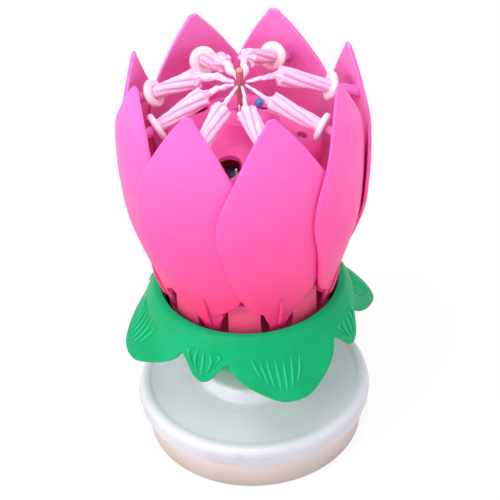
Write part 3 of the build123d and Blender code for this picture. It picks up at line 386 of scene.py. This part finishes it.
# how each petal and candle has settled: sway turns a petal's tip round the flower and lean moves it out, in degrees and mm;
# shift moves a cup out and up, tilt and yaw point the candle, and the wick has its thickness and kinks
settled = [
    {"sway": -3.2, "lean": 1.0, "shift": (0.0, 0.0), "tilt": 20.5, "yaw": 6.0, "wick": (0.8, 0.25)},
    {"sway": -2.0, "lean": 0.5, "shift": (-0.5, -0.2), "tilt": 18.5, "yaw": 4.0, "wick": (0.9, 0.5)},
    {"sway": -4.0, "lean": 2.1, "shift": (0.0, 1.0), "tilt": 20.5, "yaw": -6.0, "wick": (1.0, 0.9)},
    {"sway": 7.0, "lean": 1.3, "shift": (0.8, 0.8), "tilt": 26.0, "yaw": -11.0, "wick": (1.5, 1.0)},
    {"sway": 6.4, "lean": 1.0, "shift": (0.8, 0.5), "tilt": 27.0, "yaw": 0.5, "wick": (1.8, 1.2)},
    {"sway": 11.5, "lean": 0.8, "shift": (0.0, 0.5), "tilt": 29.0, "yaw": -2.0, "wick": (1.6, 1.1)},
    {"sway": 2.0, "lean": 0.6, "shift": (-0.8, -0.2), "tilt": 24.5, "yaw": 0.5, "wick": (1.3, 0.8)},
    {"sway": -1.2, "lean": 0.7, "shift": (0.0, 0.0), "tilt": 21.5, "yaw": 0.5, "wick": (0.85, 0.3)},
]


def petalPoint(share, y, offset):
    radius = petal["midRadius"] * curveAt(petal["profile"], share)
    step = 0.002
    rise = curveAt(petal["profile"], share + step) - curveAt(petal["profile"], share - step)
    slope = rise / (2 * step) * petal["midRadius"] / petal["height"]
    lean = sqrt(1 + slope * slope)
    radius += offset / lean
    z = petal["footZ"] + share * petal["height"] - offset * slope / lean
    return Vector((sqrt(radius**2 - (y - petal["lap"])**2), y, z))


def settle(spot, unit):
    up = max(0.0, (spot.z - petal["hingeZ"]) / (petal["footZ"] + petal["height"] - petal["hingeZ"]))
    swing = radians(unit["sway"] * up**1.3)
    x = spot.x + unit["lean"] * up**3
    return Vector((x * cos(swing) - spot.y * sin(swing), x * sin(swing) + spot.y * cos(swing), spot.z))


def petalHalfWidth(share):
    if share < petal["stemTopShare"]:
        return petal["stemHalfWidth"] * curveAt(petal["stemEdge"], share / petal["stemTopShare"])
    return petal["halfWidth"] * curveAt(petal["edge"], min(share, petal["tipShare"]))


def petalSheet(a, b):
    # b: 0 closes the foot, 1 closes the tip in a round end
    half = petal["thickness"] / 2
    rows = petal["along"]
    row = round(b * rows)
    tipStart = rows - petal["tipRows"]
    if row == 0:
        return petalPoint(0.0, 0.0, 0.0)
    stemRows, shoulder = petal["stemRows"], petal["edge"][1][0]
    if row <= stemRows + 1:
        share, narrow = (row - 1) / stemRows * petal["stemTopShare"], 1.0
    elif row <= tipStart:
        onward = (row - stemRows - 2) / (tipStart - stemRows - 2)
        share, narrow = shoulder + onward * (petal["tipShare"] - shoulder), 1.0
    else:
        swing = (row - tipStart) / petal["tipRows"] * pi / 2
        share, narrow = petal["tipShare"] + (1 - petal["tipShare"]) * sin(swing), cos(swing)
    width = petalHalfWidth(share) * narrow
    half *= sqrt(narrow)
    flat = 0.5 - petal["rimShare"]
    if a <= flat:
        side, offset = -1 + 2 * a / flat, half
    elif a <= 0.5:
        swing = (a - flat) / petal["rimShare"] * pi
        side, offset = 1.0, half * cos(swing)
    elif a <= 0.5 + flat:
        side, offset = 1 - 2 * (a - 0.5) / flat, -half
    else:
        swing = (a - 0.5 - flat) / petal["rimShare"] * pi
        side, offset = -1.0, -half * cos(swing)
    y = side * max(0.0, width - half)
    if abs(side) == 1.0 and abs(offset) < half:
        y += side * sqrt(max(0.0, half**2 - offset**2)) * min(1.0, width / max(half, 1e-6))
    if offset > 0 and side not in (-1.0, 1.0):
        # a faint raised ring outside the candle's peg
        away = Vector((y, (share - petal["ringShare"]) * petal["height"])).length / petal["ringReach"]
        offset += petal["ringRise"] * max(0.0, 1 - (away - petal["ringPlace"])**2 * petal["ringSharpness"])
    return petalPoint(share, y, offset)


def addPetalWorks(bm):
    rib = petal["rib"]

    def ribAt(a, b):
        swing = a * 2 * pi
        share = rib["low"] + (rib["high"] - rib["low"]) * b
        swell = min(1.0, 5.5 * b) * min(1.0, sqrt(max(0.0, 1 - b)) * 1.6)
        across = cos(swing) * rib["width"] / 2 * (0.0 if b in (0.0, 1.0) else (0.75 + 0.25 * swell))
        out = petal["thickness"] / 2 - rib["sink"] + (rib["rise"] * swell + rib["sink"]) * max(0.0, sin(swing))
        out -= 0.0 if sin(swing) >= 0 else rib["sink"] * 0.5
        if b in (0.0, 1.0):
            out = petal["thickness"] / 2 - rib["sink"]
        return petalPoint(share, across, out)

    wrapGrid(bm, 12, 24, ribAt)
    hinge = Vector((petal["hingeRadius"], 0, petal["hingeZ"]))
    knuckle = bmesh.new()
    wide, bore, outer = petal["knuckleHalfWidth"], petal["boreRadius"], petal["knuckleRadius"]
    edge, inner, rounding = petal["knuckleRound"], outer - petal["armOverlap"], petal["armRound"]
    spinProfile(knuckle, [
        (bore, -wide), (outer - edge, -wide), (outer, -wide + edge),
        (outer, wide - edge), (outer - edge, wide), (bore, wide)], petal["knuckleSteps"])
    bmesh.ops.rotate(knuckle, verts=knuckle.verts, cent=(0, 0, 0), matrix=Matrix.Rotation(pi / 2, 3, "X"))
    bmesh.ops.translate(knuckle, vec=hinge, verts=knuckle.verts)
    spare = bpy.data.meshes.new("knuckle")
    knuckle.to_mesh(spare)
    knuckle.free()
    bm.from_mesh(spare)
    bpy.data.meshes.remove(spare)
    reach, high = petal["armReach"], petal["armHeight"] / 2
    roundedBox(bm, hinge + Vector((inner, -wide, -high)), hinge + Vector((reach, wide, high)), rounding)
    reach, high, wide = petal["toeReach"], petal["toeHeight"] / 2, petal["toeHalfWidth"]
    roundedBox(bm, hinge + Vector((-reach, -wide, -high)), hinge + Vector((-inner, wide, high)), rounding)


# Candle in its cup, on a peg from the petal's inner face

candle = {
    "cupPlace": (25.38, 0, 112.24), "cupRadius": 4.1, "cupThickness": 1.8, "cupRound": 0.8,
    "pegRadius": 1.3, "pegFlare": 1.25, "pegLength": 7.6, "pegSink": 0.3, "pegFitRounds": 12, "seatDepth": 0.5, "seatRadius": 1.9,
    "length": 14.0, "footRadius": 1.8, "headRadius": 3.05, "cone": 1.9, "endRadius": 0.9,
    "lobes": 6, "valley": 0.30, "twist": 75, "ragged": 0.35, "around": 96, "along": 44,
}


def candleFrame(unit, straight=False):
    # the cup's place and turn in the frame of a petal that faces +X; straight leaves the petal's own sway and lean out
    place = Vector(candle["cupPlace"]) + Vector((unit["shift"][0], 0, unit["shift"][1]))
    moved = place if straight else settle(place, unit)
    swing = atan2(moved.y, moved.x) + radians(unit["yaw"])
    turned = Matrix.Rotation(swing, 3, "Z")
    tilt = radians(unit["tilt"])
    axis = turned @ Vector((-cos(tilt), 0, sin(tilt)))
    across = turned @ Vector((0, 1, 0))
    up = axis.cross(across)
    return Matrix.Translation(moved) @ Matrix((
        (across.x, up.x, axis.x, 0), (across.y, up.y, axis.y, 0), (across.z, up.z, axis.z, 0), (0, 0, 0, 1)))


def addCandle(bm, cupFrame, chance):
    foot = candle["cupThickness"] - candle["seatDepth"]
    shoulder = candle["cupThickness"] + candle["length"]
    end = shoulder + candle["cone"]
    seed = chance.uniform(0, 20)
    lump = [chance.uniform(0.9, 1.0) for lobe in range(candle["lobes"])]
    flutePaintedShade = []

    def candleAt(a, b):
        rows = candle["along"]
        row = round(b * rows)
        flutePaintedShade.append(0.0)
        if row == 0:
            return cupFrame @ Vector((0, 0, foot))
        if row == rows:
            return cupFrame @ Vector((0, 0, end))
        bodyRows = rows - 10
        swing = a * 2 * pi
        if row <= bodyRows:
            share = (row - 1) / (bodyRows - 1)
            distance = foot + share * (shoulder - foot)
            radius = candle["footRadius"] + share**0.85 * (candle["headRadius"] - candle["footRadius"])
            twist = share * candle["twist"]
            depth = candle["valley"] * min(1.0, 0.35 + 2.5 * share)
        else:
            share = (row - bodyRows) / (rows - 1 - bodyRows)
            distance = shoulder + share**1.5 * candle["cone"]
            radius = candle["headRadius"] + share**0.6 * (candle["endRadius"] - candle["headRadius"])
            twist = candle["twist"] * (1 + 0.35 * share)
            depth = candle["valley"] * (1 - 0.4 * share)
        lobe = abs(cos(candle["lobes"] / 2 * swing))
        which = int((a * candle["lobes"] + 0.5) % candle["lobes"])
        # painted shade: darker deep in each flute
        flutePaintedShade[-1] = (1 - lobe)**3 * (0.45 + 0.35 * lump[(which + 2) % candle["lobes"]] + 0.2 * share)
        radius *= (1 - depth * (1 - lobe**0.7)) * (1 - (1 - lump[which]) * lobe)
        wave = noise.noise(Vector((1.5 * cos(swing), 1.5 * sin(swing), distance * 0.4 + seed)))
        radius += wave * 0.12
        # the rim of the head is torn and stands forward in places
        torn = noise.noise(Vector((2.2 * cos(swing) + seed, 2.2 * sin(swing), 0.0)))
        near = max(0.0, 1 - abs(distance - shoulder) / 1.2)
        swing += radians(twist)
        return cupFrame @ Vector((radius * cos(swing), radius * sin(swing), distance + torn * candle["ragged"] * 2 * near))

    made = bm.verts.layers.float.new("fold")
    corners = wrapGrid(bm, candle["around"], candle["along"], candleAt)
    for corner, fold in zip(corners, flutePaintedShade):
        corner[made] = fold


wick = {
    "endReach": 1.55, "endZ": 119.9, "rootRadius": 0.75, "midRadius": 0.58, "endRadius": 0.36,
    "kinks": 2.4, "kinkReach": 0.55, "kinkOut": 0.3, "around": 12, "along": 34,
}


def addWick(bm, cupFrame, unit, chance):
    thick, kink = unit["wick"]
    start = cupFrame @ Vector((0, 0, candle["cupThickness"] + candle["length"] + candle["cone"] - 0.6))
    end = Vector((wick["endReach"], 0, wick["endZ"]))
    seed = chance.uniform(0, 50)
    bend = Vector((0, chance.uniform(-0.4, 0.4), 0.3 + chance.uniform(-0.2, 0.4)))
    sizes = [(0.0, wick["rootRadius"]), (0.15, wick["rootRadius"] * thick),
             (0.5, wick["midRadius"] * thick), (1.0, wick["endRadius"])]

    def wickAt(a, b):
        centre = start.lerp(end, b) + bend * sin(pi * b)
        along = b * wick["kinks"]
        shift = Vector((
            wick["kinkOut"] * noise.noise(Vector((along, seed, 7))),
            noise.noise(Vector((along, seed, 0))), noise.noise(Vector((along, 0, seed)))))
        centre += shift * kink * wick["kinkReach"] * sin(pi * b)
        swing = a * 2 * pi
        radius = 0.0 if b in (0.0, 1.0) else curveAt(sizes, b)
        lumps = noise.noise(Vector((b * 5, cos(swing) * 0.9, sin(swing) * 0.9 + seed)))
        radius *= 1 + (0.2 + 0.5 * kink) * lumps
        return centre + Vector((0, cos(swing), sin(swing))) * radius

    wrapGrid(bm, wick["around"], wick["along"], wickAt)


cupProfile = []
for i in range(7):
    swing = pi / 2 * i / 6
    cupProfile.append((candle["cupRadius"] - candle["cupRound"] * (1 - sin(swing)), candle["cupRound"] * (1 - cos(swing))))
for i in range(7):
    swing = pi / 2 * i / 6
    edge = candle["cupThickness"] - candle["cupRound"]
    cupProfile.append((candle["cupRadius"] - candle["cupRound"] * (1 - cos(swing)), edge + candle["cupRound"] * sin(swing)))
seat = candle["cupThickness"] - candle["seatDepth"]
cupProfile += [(candle["seatRadius"] + 0.45, candle["cupThickness"]), (candle["seatRadius"] + 0.08, candle["cupThickness"] - 0.12),
               (candle["seatRadius"], seat), (0.0, seat)]
cupProfile = [(0.0, 0.0)] + cupProfile

for index, unit in enumerate(settled):
    number = index + 1
    turn = petal["firstAngle"] + index * petal["step"]
    body = f"petal_unit_{number}"
    chance = random.Random(40 + number)
    bm = bmesh.new()
    wrapGrid(bm, petal["around"], petal["along"], petalSheet)
    # faces on the sheet's inner side take the paler copy of the colour: painted light
    for face in bm.faces:
        middle = face.calc_center_median()
        away = Vector((middle.x, middle.y - petal["lap"], 0)).normalized()
        surface = petalPoint(min(0.99, max(0.0, (middle.z - petal["footZ"]) / petal["height"])), middle.y, 0.0)
        face.material_index = 1 if (middle - surface).dot(away) < -0.2 else 0
    addPetalWorks(bm)
    peg = bmesh.ops.create_cone(
        bm, cap_ends=True, segments=24, radius1=candle["pegRadius"] * candle["pegFlare"], radius2=candle["pegRadius"],
        depth=candle["pegLength"])["verts"]
    # the peg takes the paler copy too: painted light
    for face in {face for corner in peg for face in corner.link_faces}:
        face.material_index = 1
    bmesh.ops.translate(bm, vec=(0, 0, candle["pegSink"] - candle["pegLength"] / 2), verts=peg)
    straight = candleFrame(unit, True)
    bmesh.ops.transform(bm, matrix=straight, verts=peg)
    # the peg's outer end is pushed along the peg until it meets the middle of the sheet
    axis = straight.col[2].xyz
    for corner in (corner for corner in peg if corner.co.x > candle["cupPlace"][0] + candle["pegLength"] / 2):
        for fitRound in range(candle["pegFitRounds"]):
            sheet = petalPoint((corner.co.z - petal["footZ"]) / petal["height"], corner.co.y, 0.0)
            corner.co += axis * ((sheet.x - corner.co.x) / axis.x)
    for corner in bm.verts:
        corner.co = settle(corner.co, unit)
    finishPiece(f"petalShell{number}", bm, body, [rosePolypropylene, roseInsidePaintedLight], (f"petal_{number}",), 50, turn)

    cupFrame = candleFrame(unit)
    bm = bmesh.new()
    spinProfile(bm, cupProfile, 48, closed=False)
    bmesh.ops.transform(bm, matrix=cupFrame, verts=bm.verts)
    finishPiece(f"candleCup{number}", bm, body, [cupPolypropylene], (f"candle_cup_{number}",), 50, turn)

    bm = bmesh.new()
    addCandle(bm, cupFrame, chance)
    finishPiece(f"twistedCandle{number}", bm, body, [pinkParaffin], (f"candle_{number}",), 35, turn)

    bm = bmesh.new()
    addWick(bm, cupFrame, unit, chance)
    finishPiece(f"waxedWick{number}", bm, body, [waxedCotton], (f"wick_{number}",), 70, turn)
print("petals, candles and wicks made")


# Leaf collar: one shell, its hem cut to four big and four small leaves

collar = {
    "thickness": 1.4, "around": 288, "bowlRows": 34, "leafRows": 22, "rimRows": 6,
    "crestRadius": 26.6, "crestZ": 53.5, "seatZ": 28.0, "neckRadius": 8.5, "neckZ": 23.6, "boreRadius": 3.0,
    "bowl": [(0.24, -0.02), (0.53, 0.06), (0.77, 0.30), (0.895, 0.60), (0.945, 0.85), (1.0, 1.0), (1.09, 0.855)],
    "bigHalfAngle": 31.0, "blendAngle": 2.2,
    "bigRadius": 36.8, "bigZ": 38.3, "bigFlank": [(0.0, 0.0), (0.115, 0.25), (0.40, 0.56), (1.0, 1.0), (1.08, 1.05)],
    "smallRadius": 32.4, "smallZ": 40.2, "smallFlank": [(0.0, 0.0), (0.37, 0.42), (0.66, 0.72), (1.0, 1.0), (1.15, 1.1)],
    "notchRadius": 30.5, "notchZ": 47.2,
    "bigHem": [(0.0, 1.0), (0.20, 0.945), (0.45, 0.70), (0.80, 0.30), (1.0, 0.0)],
    "smallHem": [(0.0, 1.0), (0.30, 0.85), (0.62, 0.42), (1.0, 0.0)],
}
bowlLine = [(r * collar["crestRadius"], collar["seatZ"] + h * (collar["crestZ"] - collar["seatZ"])) for r, h in collar["bowl"]]
bowlSteps = [0.0]
for (r0, z0), (r1, z1) in zip(bowlLine, bowlLine[1:]):
    bowlSteps.append(bowlSteps[-1] + sqrt((r1 - r0)**2 + (z1 - z0)**2))
bowlR = [(s / bowlSteps[-1], r) for s, (r, z) in zip(bowlSteps, bowlLine)]
bowlZ = [(s / bowlSteps[-1], z) for s, (r, z) in zip(bowlSteps, bowlLine)]
flankR, flankZ = bowlLine[-1]


def collarLine(angle, share):
    # the shell's middle: share 0 to 1 is the bowl, 1 to 2 the leaf at this angle from a big leaf's centre
    if share <= 1.0:
        return Vector((curveAt(bowlR, share), curveAt(bowlZ, share)))
    out = share - 1.0
    turn = min(1.0, abs(angle) / collar["bigHalfAngle"])
    reach = collar["bigRadius"] - flankR
    hem = collar["notchRadius"] + curveAt(collar["bigHem"], turn) * (collar["bigRadius"] + 0.7 - collar["notchRadius"])
    rShare = (hem - flankR) / reach * out
    big = Vector((flankR + rShare * reach, flankZ + curveAt(collar["bigFlank"], rShare) * (collar["bigZ"] - flankZ)))
    side = 45.0 - abs(angle)
    smallHalf = 45.0 - collar["bigHalfAngle"]
    turn = min(1.0, abs(side) / smallHalf)
    hem = collar["notchZ"] + curveAt(collar["smallHem"], turn) * (collar["smallZ"] - collar["notchZ"])
    zShare = (hem - flankZ) / (collar["smallZ"] - flankZ) * out
    small = Vector((
        flankR + curveAt(collar["smallFlank"], zShare) * (collar["smallRadius"] - flankR),
        flankZ + zShare * (collar["smallZ"] - flankZ)))
    mix = (abs(angle) - collar["bigHalfAngle"]) / collar["blendAngle"] * 0.5 + 0.5
    mix = max(0.0, min(1.0, mix))
    mix = mix * mix * (3 - 2 * mix)
    return big.lerp(small, mix)


def collarPoint(angle, share, offset, turn=0.0):
    # offset is out of the shell's upper side
    step = 0.004
    here = collarLine(angle, share)
    low, high = max(0.0, share - step), min(2.0, share + step)
    run = collarLine(angle, high) - collarLine(angle, low)
    normal = Vector((-run.y, run.x)).normalized()
    r, z = here + normal * offset
    swing = radians(angle + turn)
    return Vector((r * cos(swing), r * sin(swing), z))


def collarAt(a, b):
    whole = a * 360
    centre = round(whole / 90) * 90
    angle = whole - centre
    half = collar["thickness"] / 2
    bowlRows, leafRows, rimRows = collar["bowlRows"], collar["leafRows"], collar["rimRows"]
    rows = 2 * (bowlRows + leafRows) + rimRows + 5
    row = round(b * rows) % rows
    upper = bowlRows + leafRows
    if row <= upper:
        share = row / bowlRows if row <= bowlRows else 1 + (row - bowlRows) / leafRows
        return collarPoint(angle, share, half, centre)
    if row < upper + rimRows:
        swing = (row - upper) / rimRows * pi
        edge = collarPoint(angle, 2.0, half * cos(swing), centre)
        middle, inner = collarLine(angle, 2.0), collarLine(angle, 1.99)
        onward = (middle - inner).normalized() * half * sin(swing)
        turned = radians(angle + centre)
        return edge + Vector((onward.x * cos(turned), onward.x * sin(turned), onward.y))
    row -= upper + rimRows
    if row <= upper:
        row = upper - row
        share = row / bowlRows if row <= bowlRows else 1 + (row - bowlRows) / leafRows
        low = collarPoint(angle, share, -half, centre)
        inwards = low.xy.length / collar["neckRadius"]
        return low if inwards > 1 else Vector((low.x / inwards, low.y / inwards, low.z))
    swing = radians(whole)
    r, z = [
        (collar["neckRadius"], collar["seatZ"] - 2.0), (collar["neckRadius"], collar["neckZ"]),
        (collar["boreRadius"], collar["neckZ"]), (collar["boreRadius"], collar["seatZ"] + 0.2)][row - upper - 1]
    return Vector((r * cos(swing), r * sin(swing), z))


# each vein: its angle at the start, middle and end from the leaf's centre, and its first and last share of the leaf
vein = {
    "width": 1.15, "rise": 0.5, "around": 12, "along": 28,
    "big": [(-19, -16.5, -13.5, 0.08, 0.64), (-15, -13, -11, 0.06, 0.74), (-11, -9.8, -8.5, 0.05, 0.80),
            (-6.5, -6, -6, 0.05, 0.84), (-2, -2.6, -3.4, 0.06, 0.84), (2.5, 1, -0.8, 0.05, 0.80),
            (7.5, 5, 2, 0.08, 0.70)],
    "small": [(-5.5, -9, -3.2, 0.10, 0.76), (-2.8, -4.6, -1.6, 0.08, 0.84), (0, 0, 0, 0.07, 0.88), (2.8, 4.6, 1.6, 0.08, 0.84),
              (5.5, 9, 3.2, 0.10, 0.76)],
}


def addVein(bm, made, centre, angles, start, end, isBig):
    veinPaintedHighlights = []

    def veinAt(a, b):
        swing = a * 2 * pi
        share = 1 + start + (end - start) * b
        swell = sqrt(max(0.0, sin(pi * min(1.0, max(0.0, b))))) if b not in (0.0, 1.0) else 0.0
        fromAngle, midAngle, toAngle = angles
        angle = fromAngle + (toAngle - fromAngle) * b + (midAngle - (fromAngle + toAngle) / 2) * 4 * b * (1 - b)
        angle += 0.0 if isBig else 45.0
        width = vein["width"] / 2 * swell
        # each point's share of the paler vein colour: a painted highlight along the crest
        veinPaintedHighlights.append(max(0.0, sin(swing))**2 * swell * 0.55)
        rise = collar["thickness"] / 2 + vein["rise"] * swell * max(0.0, sin(swing)) - 0.1 * (1 - max(0.0, sin(swing)))
        fold = angle if angle <= 45 else angle - 90
        around = centre if angle <= 45 else centre + 90
        r = collarLine(fold, share).x
        return collarPoint(fold + degrees(cos(swing) * width / r), share, rise, around)

    for corner, crest in zip(wrapGrid(bm, vein["around"], vein["along"], veinAt), veinPaintedHighlights):
        corner[made] = crest


bm = bmesh.new()
veinHighlightLayer = bm.verts.layers.float.new("fold")
wrapGrid(bm, collar["around"], 2 * (collar["bowlRows"] + collar["leafRows"]) + collar["rimRows"] + 5, collarAt)
for quarter in range(4):
    for *angles, start, end in vein["big"]:
        addVein(bm, veinHighlightLayer, quarter * 90, angles, start, end, True)
    for *angles, start, end in vein["small"]:
        addVein(bm, veinHighlightLayer, quarter * 90, angles, start, end, False)
finishPiece("leafCollar", bm, "flower", [leafPolyethylene], ("leaf_collar",), 50, petal["firstAngle"])
print("collar made")


# Sound dome and what stands on it

smoothCopy("sound_dome", "soundDome", "flower", pinkPolystyrene)
smoothCopy("flower_hub", "flowerHub", "flower", resinPaintedShadeRed)

# the board keeps its paper below topZ, and the resin block on it is blockShare of the solid's height
board = {"topZ": 99.0 * mm, "blockShare": 0.6, "margin": 0.1 * mm}
boardPiece = smoothCopy("music_board", "musicBoard", "flower", navyResin)
boardPiece.data.materials.append(phenolicPaper)
for corner in boardPiece.data.vertices:
    corner.co.z -= max(0.0, corner.co.z - board["topZ"]) * (1 - board["blockShare"])
for face in boardPiece.data.polygons:
    face.material_index = 1 if face.center.z < board["topZ"] + board["margin"] else 0

# the seat's wall between two petals' feet
skirt = {"radius": 24.0, "thickness": 1.0, "halfAngle": 10.8, "lowZ": 50.5, "highZ": 62.5, "round": 0.4}
bm = bmesh.new()
for gap in range(petal["count"]):
    centre = petal["firstAngle"] + (gap + 0.5) * petal["step"]
    low = Vector((skirt["radius"] - skirt["thickness"], -skirt["halfAngle"], skirt["lowZ"]))
    high = Vector((skirt["radius"], skirt["halfAngle"], skirt["highZ"]))
    edge = [(low.x, low.z), (high.x, low.z), (high.x, high.z - skirt["round"]),
            (high.x - skirt["round"], high.z), (low.x, high.z)]
    corners = [bm.verts.new((r, 0, z)) for r, z in edge]
    bmesh.ops.rotate(bm, verts=corners, cent=(0, 0, 0), matrix=Matrix.Rotation(radians(centre + low.y), 3, "Z"))
    face = bm.faces.new(corners)
    bmesh.ops.spin(bm, geom=[face], axis=(0, 0, 1), cent=(0, 0, 0), angle=radians(high.y - low.y), steps=10)
finishPiece("hubSkirt", bm, "flower", [resinPaintedShadeRed])

fuse = {"radius": 1.08, "lowZ": 107.1, "topZ": 124.4, "tipDepth": 0.5, "around": 20, "along": 46, "lump": 0.09}
bm = bmesh.new()


def fuseAt(a, b):
    swing = a * 2 * pi
    z = fuse["lowZ"] + (fuse["topZ"] - fuse["lowZ"]) * max(0.0, min(1.0, (b - 0.02) / 0.96))
    if b in (0.0, 1.0):
        return Vector((0, 0, z))
    edge = min(1.0, (fuse["topZ"] - z) / 0.25 + 0.72)
    radius = fuse["radius"] * edge + fuse["lump"] * (noise.noise(Vector((cos(swing), sin(swing), z * 0.45))) - 0.5)
    return Vector((radius * cos(swing), radius * sin(swing), z))


wrapGrid(bm, fuse["around"], fuse["along"], fuseAt)
for face in bm.faces:
    face.material_index = 1 if face.calc_center_median().z > fuse["topZ"] - fuse["tipDepth"] else 0
finishPiece("fuseStick", bm, "flower", [sparklerPowder, fuseTip], ("fuse",), 50)

thread = {
    "place": 5.9, "angle": -95, "lowZ": 111.6, "height": 5.4, "around": 12, "along": 26,
    "sizes": [(0.0, 0.55), (0.06, 0.68), (0.14, 0.72), (0.24, 0.5), (0.36, 0.34), (0.7, 0.3), (1.0, 0.22)],
}
bm = bmesh.new()


def threadAt(a, b):
    swing = a * 2 * pi
    radius = 0.0 if b in (0.0, 1.0) else curveAt(thread["sizes"], b)
    turned = radians(thread["angle"])
    foot = Vector((thread["place"] * cos(turned), thread["place"] * sin(turned), thread["lowZ"]))
    return foot + Vector((radius * cos(swing), radius * sin(swing), thread["height"] * b))


wrapGrid(bm, thread["around"], thread["along"], threadAt)
finishPiece("fuseThread", bm, "flower", [waxedCotton], ("fuse_thread",), 60)

bead = {
    "place": 5.0, "angles": (10, 170), "radius": 1.2, "z": 113.0, "tall": 1.06, "narrow": 0.12, "around": 28, "along": 18,
    "leadRadius": 0.22, "leadOffset": 0.12, "leadSteps": 10, "footZ": 99.0,
}
for number, angle in enumerate(bead["angles"], 1):
    foot = Vector((bead["place"] * cos(radians(angle)), bead["place"] * sin(radians(angle)), 0))
    bm = bmesh.new()

    def beadAt(a, b):
        swing, rise = a * 2 * pi, (b - 0.5) * pi
        radius = bead["radius"] * cos(rise) * (1.0 if rise > 0 else 1.0 - bead["narrow"] * sin(-rise))
        z = bead["z"] + bead["radius"] * bead["tall"] * sin(rise)
        return foot + Vector((radius * cos(swing), radius * sin(swing), z))

    wrapGrid(bm, bead["around"], bead["along"], beadAt)
    for side in (-1, 1):
        made = bmesh.ops.create_cone(
            bm, cap_ends=True, segments=bead["leadSteps"], radius1=bead["leadRadius"], radius2=bead["leadRadius"],
            depth=bead["z"] - bead["footZ"])["verts"]
        middle = foot + Vector((0, side * bead["leadOffset"], (bead["z"] + bead["footZ"]) / 2))
        bmesh.ops.translate(bm, vec=middle, verts=made)
    finishPiece(f"heatBead{number}", bm, "flower", [blueEpoxy], (f"heat_bead_{number}",), 60)

# the pale wire that stands on the board behind the sound hole
wire = {
    "radius": 0.32, "place": 16.6, "angle": -97.5, "lowZ": 99.0, "highZ": 103.6, "bow": 0.2, "around": 12, "along": 16,
}
bm = bmesh.new()


def wireAt(a, b):
    swing = a * 2 * pi
    radius = 0.0 if b in (0.0, 1.0) else wire["radius"]
    turned = radians(wire["angle"])
    foot = Vector((wire["place"] * cos(turned), wire["place"] * sin(turned), 0))
    z = wire["lowZ"] + (wire["highZ"] - wire["lowZ"]) * b
    return foot + Vector((radius * cos(swing) + wire["bow"] * sin(b * pi), radius * sin(swing), z))


wrapGrid(bm, wire["around"], wire["along"], wireAt)
finishPiece("boardWire", bm, "flower", [cupPolypropylene])

# the bead's dark lead lies on the drum's top
lead = {"radius": 0.24, "length": 3.2, "middle": (6.9, -0.1, 111.75)}
bm = bmesh.new()
bmesh.ops.create_cone(bm, cap_ends=True, segments=12, radius1=lead["radius"], radius2=lead["radius"], depth=lead["length"])
bmesh.ops.rotate(bm, verts=bm.verts, cent=(0, 0, 0), matrix=Matrix.Rotation(pi / 2, 3, "Y"))
bmesh.ops.translate(bm, vec=lead["middle"], verts=bm.verts)
finishPiece("beadLead", bm, "flower", [enamelledWire])

# a brown sensor under the small hole
sensor = {"place": 16.7, "angle": -13.5, "radius": 1.25, "lowZ": 99.0, "highZ": 102.4, "round": 0.4}
bm = bmesh.new()
spinProfile(bm, [(0, sensor["lowZ"]), (sensor["radius"], sensor["lowZ"]), (sensor["radius"], sensor["highZ"] - sensor["round"]),
                 (sensor["radius"] - sensor["round"], sensor["highZ"]), (0, sensor["highZ"])], 24, closed=False)
swing = radians(sensor["angle"])
bmesh.ops.translate(bm, vec=(sensor["place"] * cos(swing), sensor["place"] * sin(swing), 0), verts=bm.verts)
finishPiece("sensorCan", bm, "flower", [brownEpoxy])
print("dome, board, fuse, thread, beads and sensor made")


# Base

# the cover's half section goes up its edge, over the rim, in to the boss, down the bore and out inside
cover = {
    "edge": [(34.6, 10.9), (34.82, 11.5), (35.0, 13.4), (34.72, 14.7)],
    "rimRadius": 34.66, "rimLowZ": 14.75, "rimZ": 16.9, "rimRound": 2.2, "rimSteps": 8,
    "top": [(32.1, 16.9), (31.8, 16.86), (31.5, 16.78), (31.2, 16.7), (30.9, 16.66), (30.5, 16.66), (28.0, 16.95),
            (24.0, 17.75), (20.0, 18.6), (17.9, 19.1), (17.2, 19.4), (16.75, 19.9), (16.5, 20.6), (16.3, 21.4)],
    "bossRadius": 16.2, "bossLowZ": 21.5, "bossRound": 1.7, "bossSteps": 7,
    "inside": [(3.05, 23.2), (3.05, 21.6), (12.5, 21.6), (14.6, 19.9), (15.2, 17.8), (30.0, 14.9), (32.95, 13.1),
               (32.95, 10.9)],
    "steps": 192,
}


def quarterRound(radius, lowZ, inwards, upwards, steps):
    swings = [pi / 2 * i / steps for i in range(1, steps + 1)]
    return [(radius - inwards * (1 - cos(swing)), lowZ + upwards * sin(swing)) for swing in swings]


rimHeight = cover["rimZ"] - cover["rimLowZ"]
rim = quarterRound(cover["rimRadius"], cover["rimLowZ"], cover["rimRound"], rimHeight, cover["rimSteps"])
boss = quarterRound(cover["bossRadius"], cover["bossLowZ"], cover["bossRound"], cover["bossRound"], cover["bossSteps"])
bm = bmesh.new()
spinProfile(bm, cover["edge"] + rim + cover["top"] + boss + cover["inside"], cover["steps"])
finishPiece("baseCover", bm, "base", [milkPolypropylene], ("base_cover",), 42)
smoothCopy("base_cup", "baseCup", "base", creamAbs)
print("base made")


# CAD nodes that keep their shape

finishes = {
    "battery_door": creamAbs, "switch_housing": creamAbs, "switch_knob": whiteAcetal,
    "door_screw": nickelSteel, "button_cell_1": nickelSteel, "button_cell_2": nickelSteel, "music_cell": nickelSteel,
    "spindle": nickelSteel, "drive_motor": nickelSteel, "plate_spring": nickelSteel,
    "cell_contact_1": rolledBrass, "cell_contact_2": rolledBrass, "sounder_disc": rolledBrass, "hinge_wire": pinkLacquer,
    "idler_gear": whiteAcetal, "motor_gear": whiteAcetal, "drive_gear": whiteAcetal,
    "opening_plate": resinPaintedShadeRed,
}
for node, material in finishes.items():
    mesh = nodes[node].data
    mesh.materials.clear()
    mesh.materials.append(material)
print("finishes given to the CAD nodes")
